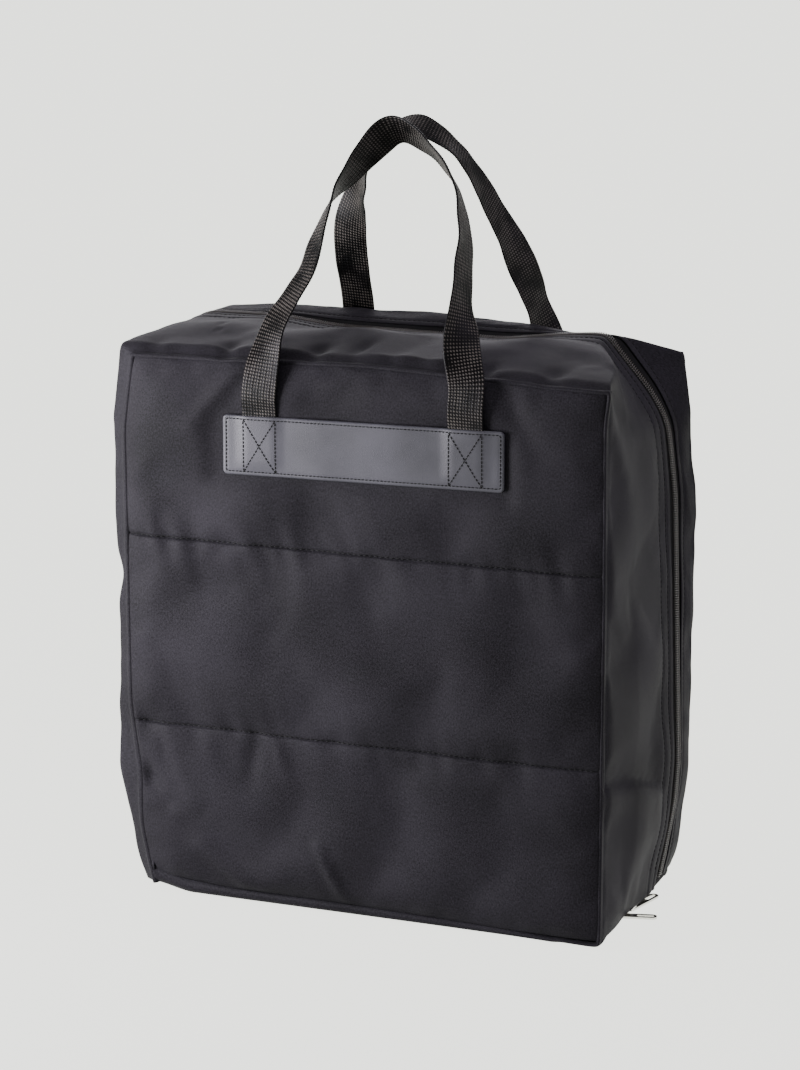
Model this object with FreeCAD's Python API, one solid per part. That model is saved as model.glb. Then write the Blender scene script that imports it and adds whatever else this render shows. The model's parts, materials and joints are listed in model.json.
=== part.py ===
"""Soft insulated food carrier: a quilted bag that opens at the back on a zip, with two webbing handles.

Frame: millimetres, +X to the bag's right, +Y to its back, +Z up.
The origin is the middle of the underside, on the surface that the bag stands on.
"""
import FreeCAD, Part
import math
import os

Vector = FreeCAD.Vector

# --- the bag's outer shape -------------------------------------------------------------------
SEAM_HALF_WIDTH = 172.5      # front and back panels, seam to seam, are 345 wide
SEAM_DEPTH = 80.0            # each panel's seam lies 80 from the middle
SEAM_BOTTOM = 6.0
SEAM_TOP = 390.0
WALL_HALF_WIDTH = 184.0      # the side walls bulge past the seams
WALL_TOP = 398.0
ROLL_DEPTH = 10.0            # how far behind its seam a wall reaches its full width
WALL_LEAN_HEIGHT = 55.0      # each side wall leans in over this height at its foot
WALL_FOOT_CLEAR = 171.5      # half the width between the side walls' feet
ZIP_CORNER_RADIUS = 60.0     # the walls' top corners are roundest along the zip

# --- layers ----------------------------------------------------------------------------------
FABRIC = 1.0
WALL_FOAM = 5.0
LINING = 0.5
PANEL_FOAM = 5.0
PANEL_CROWN = 6.0            # how far a quilted pad stands out of its seam plane
PAD_SHOULDER = 14.0          # width of a pad's sloping edge
QUILT_LINES = (126.0, 260.0)
PAD_GAP = 2.0                # half the width of the sewn channel between two pads

# --- underside -------------------------------------------------------------------------------
BASE_HALF_WIDTH = 138.0      # the stiffened pad under the bag; beyond it the corners are raised
BASE_HALF_DEPTH = 71.0
BASE_HEIGHT = 9.5
BASE_FLARE_X = 2.0
BASE_FLARE_Y = 2.5
BOARD_THICKNESS = 3.0
BOTTOM_PANEL = 1.0
BOTTOM_HALF_WIDTH = 172.8
BOTTOM_HALF_DEPTH = 73.9

# --- opening ---------------------------------------------------------------------------------
ZIP_Y = 44.0                 # the zip's centre line runs this far behind the middle
ZIP_BAND = 8.0               # half the width of tape that shows between the walls' edges
TEETH_GAP = 0.8              # half the gap between the two rows
TEETH_WIDTH = 3.2
TEETH_RISE = (0.6, 2.8)      # teeth, below the walls' outer surface
TAPE_RISE = (1.2, 1.8)
TAPE_WIDTH = 11.0
SEAM_TAPE_RISE = (1.2, 1.8)
HINGE_Z = 12.0               # the lid folds on a line along the foot of the back panel
HINGE_GAP = 0.3

# --- straps ----------------------------------------------------------------------------------
STRAP_WIDTH = 25.0
STRAP_THICKNESS = 1.6
STRAP_CENTRE = 74.0
PATCH_HALF_WIDTH = 101.0
PATCH_BOTTOM = 311.0
PATCH_TOP = 352.0
PATCH_RISE = 2.6
PATCH_CORNER = 5.0
TAIL_BOTTOM = 318.0
HANDLE_PIVOT_Y = 89.9
HANDLE_PIVOT_Z = 353.4
HANDLE_TOP = 548.0
HANDLE_TOP_Y = 12.6          # the two handles stand side by side over the middle
HANDLE_BEND_Z = 378.0        # each handle runs straight up to here, then leans in
HANDLE_LEAN_POWER = 1.25
HANDLE_SECTIONS = 33

# --- zip tail and sliders under the right corner ---------------------------------------------
TAIL_X = 165.5
TAIL_START_Y = 34.0
TAIL_BEND_Y = -12.0
TAIL_BEND_RADIUS = 8.0
TAIL_END_X = 141.0
TAIL_TAPE_HALF = 5.0
TAIL_TAPE_Z = (6.7, 7.1)
TAIL_TEETH_Z = (5.9, 7.9)
TAIL_TEETH = (0.7, 3.9)
TAIL_TACK = 5.0
END_STOP = 2.0
SLIDER_LENGTH = 11.0
SLIDER_HALF_WIDTH = 4.5
SLIDER_INNER_Z = (8.1, 8.9)
SLIDER_OUTER_Z = (4.6, 5.6)
DIVIDER = (3.0, 1.0)
BAIL_HALF_LENGTH = 4.0
BAIL_HALF_WIDTH = 0.8
BAIL_BOTTOM = 1.0
BAIL_WIRE = 1.0
END_SLIDER_X = 151.0
SIDE_SLIDER_Y = -5.0
PULL_PIVOT = (1.7, 3.0)      # along the slider, and height
PULL_LENGTH = 37.0
PULL_HALF_WIDTH = 3.6
PULL_THICKNESS = 1.4
PULL_WINDOW = (0.45, 3.6, 1.5)
PULL_SLOT = (24.5, 33.5, 1.4)
PULL_YAW = 14.0

# Stations of the wall's section from front to back: depth, half-width, foot half-width, top, radius.
STATIONS = (
    (-SEAM_DEPTH, SEAM_HALF_WIDTH, 172.0, SEAM_TOP, 9.0),
    (-SEAM_DEPTH + ROLL_DEPTH, 183.0, 175.0, 397.5, 18.0),
    (ZIP_Y - ZIP_BAND, WALL_HALF_WIDTH, 174.0, WALL_TOP, ZIP_CORNER_RADIUS),
    (ZIP_Y + ZIP_BAND, WALL_HALF_WIDTH, 174.0, WALL_TOP, ZIP_CORNER_RADIUS),
    (SEAM_DEPTH - 8.0, 183.0, 175.0, 397.5, 22.0),
    (SEAM_DEPTH, SEAM_HALF_WIDTH, 172.0, SEAM_TOP, 9.0),
)


def box(x, y, z):
    """A block between two values along each axis."""
    return Part.makeBox(x[1] - x[0], y[1] - y[0], z[1] - z[0], Vector(x[0], y[0], z[0]))


def mirror_back(shape):
    """The same shape on the other side of the bag's middle plane."""
    return shape.mirror(Vector(0, 0, 0), Vector(0, 1, 0))


def closed_wire(points):
    return Part.makePolygon(points + [points[0]])


def station(y):
    """Half-width, foot half-width, top and corner radius of the wall at depth y."""
    for near, far in zip(STATIONS, STATIONS[1:]):
        if near[0] <= y <= far[0]:
            share = (y - near[0]) / (far[0] - near[0])
            return [a + share * (b - a) for a, b in zip(near[1:], far[1:])]
    raise ValueError(y)


def section(y, inset):
    """The wall's section at depth y, moved inwards by inset."""
    half, foot, top, radius = station(y)
    half, foot, top = half - inset, foot - inset, top - inset
    radius = max(radius - inset, 1.0)
    bottom = SEAM_BOTTOM + inset
    knee = SEAM_BOTTOM + WALL_LEAN_HEIGHT
    shoulder = top - radius
    slant = radius * math.sqrt(0.5)

    def at(x, z):
        return Vector(x, y, z)

    def line(a, b):
        return Part.LineSegment(at(*a), at(*b)).toShape()

    def arc(side):
        ends = [(half, shoulder), (half - radius + slant, shoulder + slant), (half - radius, top)]
        pts = [at(side * x, z) for x, z in ends]
        if side < 0:
            pts.reverse()
        return Part.Arc(*pts).toShape()

    return Part.Wire([
        line((-foot, bottom), (foot, bottom)),
        line((foot, bottom), (half, knee)),
        line((half, knee), (half, shoulder)),
        arc(1),
        line((half - radius, top), (radius - half, top)),
        arc(-1),
        line((-half, shoulder), (-half, knee)),
        line((-half, knee), (-foot, bottom)),
    ])


def wall_block(y0, y1, inset):
    depths = [y0] + [s[0] for s in STATIONS if y0 < s[0] < y1] + [y1]
    return Part.makeLoft([section(y, inset) for y in depths], True, True)


def wall(y0, y1, outer, inner, floor):
    """The wall's layer between two insets, from y0 to y1, above the height called floor."""
    layer = wall_block(y0, y1, outer).cut(wall_block(y0, y1, inner))
    layer = layer.cut(box((-300, 300), (y0 - 10, y1 + 10), (-10, floor)))
    inside = WALL_FOOT_CLEAR - inner
    return layer.cut(box((-inside, inside), (y0 - 10, y1 + 10), (-10, SEAM_BOTTOM + inner + 0.1)))


def hemmed_wall(y0, y1, low, high):
    """The outer fabric between two heights, open underneath but for a narrow hem."""
    skin = wall_block(y0, y1, 0).cut(wall_block(y0, y1, FABRIC))
    skin = skin.cut(box((-171, 171), (y0 - 10, y1 + 10), (-10, BASE_HEIGHT)))
    return skin.common(box((-300, 300), (y0 - 10, y1 + 10), (low, high)))


def rectangle(x, y, z0, z1):
    return closed_wire([Vector(-x, y, z0), Vector(x, y, z0), Vector(x, y, z1), Vector(-x, y, z1)])


def pad_block(low, high, inset, back, seam):
    """A quilted pad: straight from back to seam, then drawn in over its shoulder to its crown."""
    x = SEAM_HALF_WIDTH - inset
    z0, z1 = low + inset, high - inset
    slope = PAD_SHOULDER - inset * 0.5
    crown = rectangle(x - slope, seam - PANEL_CROWN, z0 + slope, z1 - slope)
    return Part.makeLoft([rectangle(x, back, z0, z1), rectangle(x, seam, z0, z1), crown], True, True)


def pad_heights(bottom):
    edges = (bottom,) + QUILT_LINES + (SEAM_TOP,)
    return list(zip(edges, edges[1:]))


def panel_layers(bottom):
    """The front panel's fabric, its pads from bottom to top, and its lining."""
    inner_seam = -SEAM_DEPTH + FABRIC
    pads = [pad_block(low, high, PAD_GAP, inner_seam + PANEL_FOAM, inner_seam)
            for low, high in pad_heights(bottom)]
    fabric = pad_block(*pad_heights(bottom)[0], 0, inner_seam, -SEAM_DEPTH)
    for low, high in pad_heights(bottom)[1:]:
        fabric = fabric.fuse(pad_block(low, high, 0, inner_seam, -SEAM_DEPTH))
    for pad in pads:
        fabric = fabric.cut(pad)
    back = inner_seam + PANEL_FOAM
    lining = box((-171, 171), (back, back + LINING), (bottom + 5, SEAM_TOP - 1))
    return fabric.removeSplitter(), pads, lining


def base_block(inset):
    """The stiffened pad under the bag, a little wider at its top."""
    x, y = BASE_HALF_WIDTH - inset, BASE_HALF_DEPTH - inset

    def ring(grow_x, grow_y, z):
        a, b = x + grow_x, y + grow_y
        return closed_wire([Vector(-a, -b, z), Vector(a, -b, z), Vector(a, b, z), Vector(-a, b, z)])

    return Part.makeLoft([ring(0, 0, inset), ring(BASE_FLARE_X, BASE_FLARE_Y, BASE_HEIGHT)], True, True)


def base_layers():
    inside = base_block(FABRIC)
    board_foot = BASE_HEIGHT - BOARD_THICKNESS
    return {
        "base_cover": base_block(0).cut(inside),
        "base_foam": inside.common(box((-200, 200), (-100, 100), (FABRIC, board_foot))),
        "base_board": inside.common(box((-200, 200), (-100, 100), (board_foot, BASE_HEIGHT))),
    }


def base_binding():
    """The strip that closes the bag's foot behind the opening, which the lid folds along."""
    top = HINGE_Z - HINGE_GAP
    hems = hemmed_wall(ZIP_Y - ZIP_BAND, SEAM_DEPTH, SEAM_BOTTOM, top)
    heel = box((-171, 171), (BOTTOM_HALF_DEPTH + 0.1, SEAM_DEPTH), (SEAM_BOTTOM, top))
    return hems.fuse(heel)


def patch():
    """The reinforcing patch, sewn over the ends of a handle, with a pocket for each end."""
    crown = -SEAM_DEPTH - PANEL_CROWN
    plate = box((-PATCH_HALF_WIDTH, PATCH_HALF_WIDTH), (crown - PATCH_RISE, crown), (PATCH_BOTTOM, PATCH_TOP))
    corners = [e for e in plate.Edges if abs(e.Vertexes[0].Y - e.Vertexes[1].Y) > 1]
    plate = plate.makeFillet(PATCH_CORNER, corners)
    for side in (-1, 1):
        plate = plate.cut(strap_tail(side))
    return plate


def strap_tail(side):
    """A handle's sewn end: flat under the patch, then stepped out to where the handle folds."""
    crown = -SEAM_DEPTH - PANEL_CROWN
    x = (side * STRAP_CENTRE - STRAP_WIDTH / 2, side * STRAP_CENTRE + STRAP_WIDTH / 2)
    flat = box(x, (crown - STRAP_THICKNESS, crown), (TAIL_BOTTOM, PATCH_TOP + 0.1))
    pivot_face = -HANDLE_PIVOT_Y + STRAP_THICKNESS / 2 + 0.1
    return flat.fuse(box(x, (pivot_face, crown), (PATCH_TOP + 0.1, HANDLE_PIVOT_Z + 1.3)))


def skin(sections):
    """A solid through equal sections, each a list of corners, with flat facets between them."""
    faces = [Part.Face(closed_wire(sections[0])), Part.Face(closed_wire(sections[-1]))]
    for near, far in zip(sections, sections[1:]):
        for i in range(len(near)):
            j = (i + 1) % len(near)
            faces.append(Part.Face(closed_wire([near[i], near[j], far[j]])))
            faces.append(Part.Face(closed_wire([near[i], far[j], far[i]])))
    solid = Part.Solid(Part.Shell(faces))
    if solid.Volume < 0:
        solid.reverse()
    return solid


def handle_depth(z):
    """How far in front of the middle a handle's centre line lies at height z."""
    rise = max(0.0, z - HANDLE_BEND_Z) / (HANDLE_TOP - HANDLE_BEND_Z)
    return HANDLE_PIVOT_Y - (HANDLE_PIVOT_Y - HANDLE_TOP_Y) * rise ** HANDLE_LEAN_POWER


def handle(route):
    """One webbing loop along a route of (x, z) points; flat on its feet, turned on edge at its top."""
    points = [Vector(x, -handle_depth(z), z) for x, z in route]
    line = Part.BSplineCurve()
    line.interpolate(points)
    sections = []
    for i in range(HANDLE_SECTIONS):
        share = i / (HANDLE_SECTIONS - 1)
        u = line.parameterAtDistance(line.length() * share)
        centre = line.value(u)
        along = line.tangent(u)[0]
        slope = (handle_depth(centre.z - 0.5) - handle_depth(centre.z + 0.5))
        normal = Vector(0, 1, -slope).normalize()
        across = along.cross(normal).normalize()
        turn = math.radians(90) * math.sin(math.pi * share) ** 2
        width = across * math.cos(turn) + normal * math.sin(turn)
        width = (width - along * width.dot(along)).normalize()
        face = along.cross(width).normalize()
        w, t = width * (STRAP_WIDTH / 2), face * (STRAP_THICKNESS / 2)
        sections.append([centre + w + t, centre - w + t, centre - w - t, centre + w - t])
    loop = skin(sections)
    for x, z in (route[0], route[-1]):
        foot = Vector(x - STRAP_WIDTH / 2, -HANDLE_PIVOT_Y, z)
        loop = loop.fuse(Part.makeCylinder(STRAP_THICKNESS / 2, STRAP_WIDTH, foot, Vector(1, 0, 0)))
    return loop


# Routes of the two loops, foot to foot, as (x, z).
FRONT_ROUTE = [(-74, HANDLE_PIVOT_Z), (-74, 366), (-74, 384), (-74, 402), (-70, 420), (-55, 448), (-43, 480),
               (-35, 510), (-23, 536), (-6, HANDLE_TOP), (12, 540), (32, 525), (48, 503), (58, 470),
               (62, 440), (67, 408), (73, 384), (74, 366), (74, HANDLE_PIVOT_Z)]
BACK_ROUTE = [(-74, HANDLE_PIVOT_Z), (-74, 366), (-73, 384), (-71, 402), (-70, 440), (-65, 466), (-50, 498),
              (-36, 520), (-20, 537), (-4, HANDLE_TOP - 1), (12, 539), (30, 516), (45, 490), (58, 458),
              (67, 428), (73, 402), (74, 384), (74, 366), (74, HANDLE_PIVOT_Z)]


def tail_band(low, high, z):
    """A strip along the zip's tail, between two offsets from its centre line (outer side positive)."""
    bend_x, end_y = TAIL_X - TAIL_BEND_RADIUS, TAIL_BEND_Y - TAIL_BEND_RADIUS
    side = box((TAIL_X + low, TAIL_X + high), (TAIL_BEND_Y, TAIL_START_Y), z)
    end = box((TAIL_END_X, bend_x), (end_y - high, end_y - low), z)
    centre = Vector(bend_x, TAIL_BEND_Y, z[0])
    up = Vector(0, 0, 1)
    bend = Part.makeCylinder(TAIL_BEND_RADIUS + high, z[1] - z[0], centre, up, 90)
    bend = bend.cut(Part.makeCylinder(TAIL_BEND_RADIUS + low, z[1] - z[0], centre, up, 90))
    bend.rotate(centre, up, -90)
    return side.fuse([end, bend]).removeSplitter()


def tail_pieces():
    end_y = TAIL_BEND_Y - TAIL_BEND_RADIUS
    x = (TAIL_X - TAIL_TAPE_HALF, TAIL_X + TAIL_TAPE_HALF)
    y = (end_y - TAIL_TAPE_HALF, end_y + TAIL_TAPE_HALF)
    low, high = TAIL_TEETH
    teeth = [tail_band(low, high, TAIL_TEETH_Z), tail_band(-high, -low, TAIL_TEETH_Z)]
    tapes = [tail_band(high, TAIL_TAPE_HALF, TAIL_TAPE_Z), tail_band(-TAIL_TAPE_HALF, -high, TAIL_TAPE_Z)]
    stop = box((TAIL_END_X, TAIL_END_X + END_STOP), y, (SLIDER_OUTER_Z[1], BASE_HEIGHT))
    tack = box(x, (TAIL_START_Y - TAIL_TACK, TAIL_START_Y), (TAIL_TAPE_Z[1], BASE_HEIGHT))
    for row in teeth:
        tack = tack.cut(row)
    return {
        "zip_tail_tape": Part.makeCompound([tape.cut(stop) for tape in tapes]),
        "zip_tail_teeth": Part.makeCompound([row.cut(stop) for row in teeth]),
        "zip_tail_tack": tack,
        "zip_end_stop": stop,
    }


def slider():
    """A zip slider lying on its back: two wings, the divider between them and the bail below."""
    x = (-SLIDER_LENGTH / 2, SLIDER_LENGTH / 2)
    y = (-SLIDER_HALF_WIDTH, SLIDER_HALF_WIDTH)
    body = box(x, y, SLIDER_INNER_Z).fuse(box(x, y, SLIDER_OUTER_Z))
    dx, dy = DIVIDER[0] / 2, DIVIDER[1] / 2
    divider = box((x[1] - 2 * dx, x[1]), (-dy, dy), (SLIDER_OUTER_Z[1], SLIDER_INNER_Z[0]))
    bail_y = (-BAIL_HALF_WIDTH, BAIL_HALF_WIDTH)
    bail = box((-BAIL_HALF_LENGTH, BAIL_HALF_LENGTH), bail_y, (BAIL_BOTTOM, SLIDER_OUTER_Z[0]))
    hole = BAIL_HALF_LENGTH - BAIL_WIRE
    bail = bail.cut(box((-hole, hole), bail_y, (BAIL_BOTTOM + BAIL_WIRE, SLIDER_OUTER_Z[0])))
    return body.fuse([divider, bail]).removeSplitter()


def pull():
    """A zip pull: its cross-bar lies through the bail, and its tab has a slot near a round tip."""
    px, pz = PULL_PIVOT
    half = PULL_THICKNESS / 2
    tip = px + PULL_LENGTH - PULL_HALF_WIDTH
    z = (pz - half, pz + half)
    tab = box((px, tip), (-PULL_HALF_WIDTH, PULL_HALF_WIDTH), z)
    tab = tab.fuse(Part.makeCylinder(PULL_HALF_WIDTH, PULL_THICKNESS, Vector(tip, 0, z[0])))
    bar = Vector(px, -PULL_HALF_WIDTH, pz)
    tab = tab.fuse(Part.makeCylinder(half, 2 * PULL_HALF_WIDTH, bar, Vector(0, 1, 0)))
    near, far, wide = PULL_WINDOW
    tab = tab.cut(box((px + near, px + far), (-wide, wide), z))
    near, far, wide = PULL_SLOT
    slot = box((px + near, px + far), (-wide, wide), z)
    for end in (near, far):
        slot = slot.fuse(Part.makeCylinder(wide, PULL_THICKNESS, Vector(px + end, 0, z[0])))
    return tab.cut(slot).removeSplitter()


def placed(shape, x, y, turn, yaw=0.0):
    """Turns a slider's piece to its place on the tail; yaw swings a pull to one side on its bail."""
    up = Vector(0, 0, 1)
    shape.rotate(Vector(PULL_PIVOT[0], 0, 0), up, yaw)
    shape.rotate(Vector(0, 0, 0), up, turn)
    shape.translate(Vector(x, y, 0))
    return shape


def build():
    parts = {}
    front_edge, back_edge = ZIP_Y - ZIP_BAND, ZIP_Y + ZIP_BAND
    front_teeth = (ZIP_Y - TEETH_GAP - TEETH_WIDTH, ZIP_Y - TEETH_GAP)
    back_teeth = (ZIP_Y + TEETH_GAP, ZIP_Y + TEETH_GAP + TEETH_WIDTH)
    front_tape = (ZIP_Y - 1.5 - TAPE_WIDTH, ZIP_Y - 1.5)
    back_tape = (ZIP_Y + 1.5, ZIP_Y + 1.5 + TAPE_WIDTH)
    foam_in = FABRIC + WALL_FOAM
    wall_start = SEAM_DEPTH - 7.0
    floor = BASE_HEIGHT + BOTTOM_PANEL
    fold = HINGE_Z + HINGE_GAP
    heights = ("bottom", "middle", "top")

    fabric, pads, lining = panel_layers(SEAM_BOTTOM)
    parts["front_panel"] = fabric
    parts["front_lining"] = lining
    for height, pad in zip(heights, pads):
        parts["front_foam_" + height] = pad
    parts["front_gusset"] = hemmed_wall(-SEAM_DEPTH + FABRIC, front_edge, SEAM_BOTTOM, 500)
    parts["front_gusset_foam"] = wall(-wall_start, front_tape[0] - 0.5, FABRIC, foam_in, floor + 0.1)
    parts["front_gusset_lining"] = wall(-wall_start, front_tape[0] - 0.5, foam_in, foam_in + LINING, floor + 0.6)
    parts["front_seam_tape"] = wall(-SEAM_DEPTH + FABRIC, -wall_start - 1, *SEAM_TAPE_RISE, floor)
    parts["front_zip_tape"] = wall(*front_tape, *TAPE_RISE, fold).cut(wall(*front_teeth, *TEETH_RISE, fold))
    parts["front_zip_teeth"] = wall(*front_teeth, *TEETH_RISE, fold)

    parts.update(base_layers())
    bottom = (BASE_HEIGHT, floor)
    half_x, half_y = BOTTOM_HALF_WIDTH, BOTTOM_HALF_DEPTH
    parts["bottom_panel"] = box((-half_x, half_x), (-half_y, half_y), bottom)
    parts["bottom_lining"] = box((-165, 165), (-73, 73), (floor, floor + LINING))
    parts["base_binding"] = base_binding()
    parts.update(tail_pieces())
    parts["front_patch"] = patch()
    parts["front_strap_tails"] = Part.makeCompound([strap_tail(-1), strap_tail(1)])

    fabric, pads, lining = panel_layers(fold)
    parts["back_panel"] = mirror_back(fabric)
    parts["back_lining"] = mirror_back(lining)
    for height, pad in zip(heights, pads):
        parts["back_foam_" + height] = mirror_back(pad)
    parts["back_gusset"] = wall(back_edge, SEAM_DEPTH - FABRIC, 0, FABRIC, fold)
    parts["back_gusset_foam"] = wall(back_tape[1] + 0.5, wall_start, FABRIC, foam_in, fold)
    parts["back_gusset_lining"] = wall(back_tape[1] + 0.5, wall_start, foam_in, foam_in + LINING, fold)
    parts["back_seam_tape"] = wall(wall_start + 1, SEAM_DEPTH - FABRIC, *SEAM_TAPE_RISE, fold)
    parts["back_zip_tape"] = wall(*back_tape, *TAPE_RISE, fold).cut(wall(*back_teeth, *TEETH_RISE, fold))
    parts["back_zip_teeth"] = wall(*back_teeth, *TEETH_RISE, fold)
    parts["back_patch"] = mirror_back(patch())
    parts["back_strap_tails"] = Part.makeCompound([mirror_back(strap_tail(side)) for side in (-1, 1)])

    parts["handle_front"] = handle(FRONT_ROUTE)
    parts["handle_back"] = mirror_back(handle(BACK_ROUTE))

    end_y = TAIL_BEND_Y - TAIL_BEND_RADIUS
    parts["zip_slider_end"] = placed(slider(), END_SLIDER_X, end_y, 0)
    parts["zip_pull_end"] = placed(pull(), END_SLIDER_X, end_y, 0, PULL_YAW)
    parts["zip_slider_side"] = placed(slider(), TAIL_X, SIDE_SLIDER_Y, 90)
    parts["zip_pull_side"] = placed(pull(), TAIL_X, SIDE_SLIDER_Y, 90, -PULL_YAW)
    return parts


os.makedirs("parts", exist_ok=True)
for name, shape in build().items():
    if not shape.isValid() or shape.Volume <= 0:
        raise ValueError(name)
    print(f"{name:22s} solids {len(shape.Solids)} volume {shape.Volume / 1000:9.2f} cm3")
    shape.exportStep(f"parts/{name}.step")
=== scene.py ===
"""Looks of the soft insulated food carrier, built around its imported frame.

Shapes are worked out in millimetres, and turned into metres where a mesh is made.
"""

import json
import math

import bpy
import numpy as np
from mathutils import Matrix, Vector

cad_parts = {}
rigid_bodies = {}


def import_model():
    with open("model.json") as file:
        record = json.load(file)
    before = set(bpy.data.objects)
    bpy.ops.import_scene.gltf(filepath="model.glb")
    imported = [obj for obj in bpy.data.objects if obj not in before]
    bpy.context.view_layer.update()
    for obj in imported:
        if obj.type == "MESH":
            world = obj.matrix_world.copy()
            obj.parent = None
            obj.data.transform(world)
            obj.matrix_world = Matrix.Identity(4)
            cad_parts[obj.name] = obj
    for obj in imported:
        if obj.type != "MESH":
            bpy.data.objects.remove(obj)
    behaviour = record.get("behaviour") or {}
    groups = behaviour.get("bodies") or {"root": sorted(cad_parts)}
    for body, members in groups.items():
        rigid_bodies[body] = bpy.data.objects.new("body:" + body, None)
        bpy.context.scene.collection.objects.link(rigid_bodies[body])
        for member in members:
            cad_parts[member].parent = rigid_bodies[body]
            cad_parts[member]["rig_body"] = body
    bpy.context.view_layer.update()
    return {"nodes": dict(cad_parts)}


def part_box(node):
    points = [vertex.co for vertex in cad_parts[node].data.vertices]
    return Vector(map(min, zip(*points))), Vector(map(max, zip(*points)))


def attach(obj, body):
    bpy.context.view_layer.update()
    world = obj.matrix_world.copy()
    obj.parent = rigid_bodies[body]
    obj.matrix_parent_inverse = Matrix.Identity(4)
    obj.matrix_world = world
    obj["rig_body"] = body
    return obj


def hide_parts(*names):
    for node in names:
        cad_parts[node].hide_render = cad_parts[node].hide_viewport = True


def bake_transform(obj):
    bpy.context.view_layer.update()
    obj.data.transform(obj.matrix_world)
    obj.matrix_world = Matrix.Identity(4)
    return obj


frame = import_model()

MM = 0.001
NODES = frame["nodes"]


# ---- places taken from the frame ------------------------------------------------------------
def span(node, axis):
    """Lowest and highest value of a CAD node along an axis, in millimetres."""
    low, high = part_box(node)
    return low[axis] / MM, high[axis] / MM


SEAM_X = 172.5
SEAM_Y = 80.0
SEAM_BOTTOM, SEAM_TOP = span("front_panel", 2)
LID_BOTTOM = span("back_panel", 2)[0]
CROWN = -span("front_panel", 1)[0] - SEAM_Y
ZIP_Y = (span("front_zip_teeth", 1)[1] + span("back_zip_teeth", 1)[0]) / 2
EDGE_FRONT = span("front_gusset", 1)[1]
EDGE_LID = span("back_gusset", 1)[0]
PATCH_X = span("front_patch", 0)[1]
PATCH_LOW, PATCH_HIGH = span("front_patch", 2)
PATCH_MIDDLE, PATCH_HALF = (PATCH_LOW + PATCH_HIGH) / 2, (PATCH_HIGH - PATCH_LOW) / 2
QUILT_LINES = (span("front_foam_bottom", 2)[1] + 2.0, span("front_foam_middle", 2)[1] + 2.0)
PIVOT_Y, PIVOT_Z = 89.9, 353.4
STRAP_X, STRAP_WIDTH, STRAP_THICK = 74.0, 25.0, 1.6
HANDLE_TOP = 548.0
LOOP_TOP = HANDLE_TOP - 8
PAD_BACK, LINING_FACE = SEAM_Y - 5.6, SEAM_Y - 6.0
CLOTH_THICK, FILM_THICK = 0.6, 0.3
DOWN = np.array([0.0, 0.0, -1.0])


# ---- small maths -----------------------------------------------------------------------------
def ease(value, start, end):
    """0 before start, 1 after end, smooth between."""
    t = np.clip((np.asarray(value, float) - start) / (end - start), 0, 1)
    return t * t * (3 - 2 * t)


def hill(value, centre, width):
    """A smooth hump of height 1."""
    return np.exp(-(((np.asarray(value, float) - centre) / width) ** 2))


def roll(distance, width):
    """A quarter-round rise from 0 at an edge to 1 at width from it."""
    return np.sqrt(1 - (1 - np.clip(np.asarray(distance, float) / width, 0, 1)) ** 2)


def through(value, stops):
    """Straight-line interpolation of (place, amount) stops."""
    return np.interp(value, [s[0] for s in stops], [s[1] for s in stops])


def waves(u, v, length, seed):
    """Smooth random waves of about one length in millimetres, about -1 to 1."""
    rng = np.random.default_rng(seed)
    count = 20
    total = np.zeros(np.broadcast(u, v).shape)
    for _ in range(count):
        angle = rng.uniform(0, 2 * math.pi)
        k = 2 * math.pi / (length * rng.uniform(0.7, 1.6))
        total += np.sin(k * (u * math.cos(angle) + v * math.sin(angle)) + rng.uniform(0, 2 * math.pi))
    return total / math.sqrt(count)


def unit(vectors):
    """The same directions at length 1."""
    return vectors / np.maximum(np.linalg.norm(vectors, axis=-1, keepdims=True), 1e-9)


def smooth_rows(points, sigma):
    """Gaussian smoothing along the first axis, ends kept, sigma in samples."""
    reach = max(1, int(3 * sigma))
    kernel = np.exp(-0.5 * (np.arange(-reach, reach + 1) / sigma) ** 2)
    kernel /= kernel.sum()
    before = 2 * points[0] - points[reach:0:-1]
    after = 2 * points[-1] - points[-2:-reach - 2:-1]
    padded = np.concatenate([before, points, after])
    flat = padded.reshape(len(padded), -1)
    out = np.stack([np.convolve(flat[:, i], kernel, "valid") for i in range(flat.shape[1])], 1)
    return out.reshape(points.shape)


def distances(points):
    """How far along a polyline each of its points lies."""
    return np.concatenate([[0], np.cumsum(np.linalg.norm(np.diff(points, axis=0), axis=1))])


def at_places(places, along, values):
    """Rows of values, given at distances along a line, read at other places along it."""
    return np.stack([np.interp(places, along, column) for column in values.T], 1)


def resample(points, count):
    """The polyline's points again, evenly spaced along it."""
    along = distances(points)
    return at_places(np.linspace(0, along[-1], count), along, points)


def refine_rows(points, factor):
    """More rows between the rows of points, by Catmull-Rom curves."""
    last = len(points) - 1
    t = np.linspace(0, last, last * factor + 1)
    i = np.clip(t.astype(int), 0, last - 1)
    f = (t - i)[:, None, None]
    a, b = points[np.maximum(i - 1, 0)], points[i]
    c, d = points[i + 1], points[np.minimum(i + 2, last)]
    square, cube = 2 * a - 5 * b + 4 * c - d, 3 * b - a - 3 * c + d
    return 0.5 * (2 * b + (c - a) * f + square * f ** 2 + cube * f ** 3)


def refine(grid, factor):
    """The same grid with factor times the cells each way."""
    return refine_rows(refine_rows(grid, factor).swapaxes(0, 1), factor).swapaxes(0, 1)


def curve_through(points, count, sigma):
    """A smooth curve near given points, with count even samples."""
    fine = refine_rows(np.asarray(points, float)[:, None, :], 24)[:, 0, :]
    return resample(smooth_rows(resample(fine, 900), sigma), count)


def grid_normals(grid, outward):
    """Unit normals of a grid on the side that outward names."""
    normals = unit(np.cross(np.gradient(grid, axis=1), np.gradient(grid, axis=0)))
    return normals * np.sign(np.mean(np.sum(normals * outward, -1)))


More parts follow.
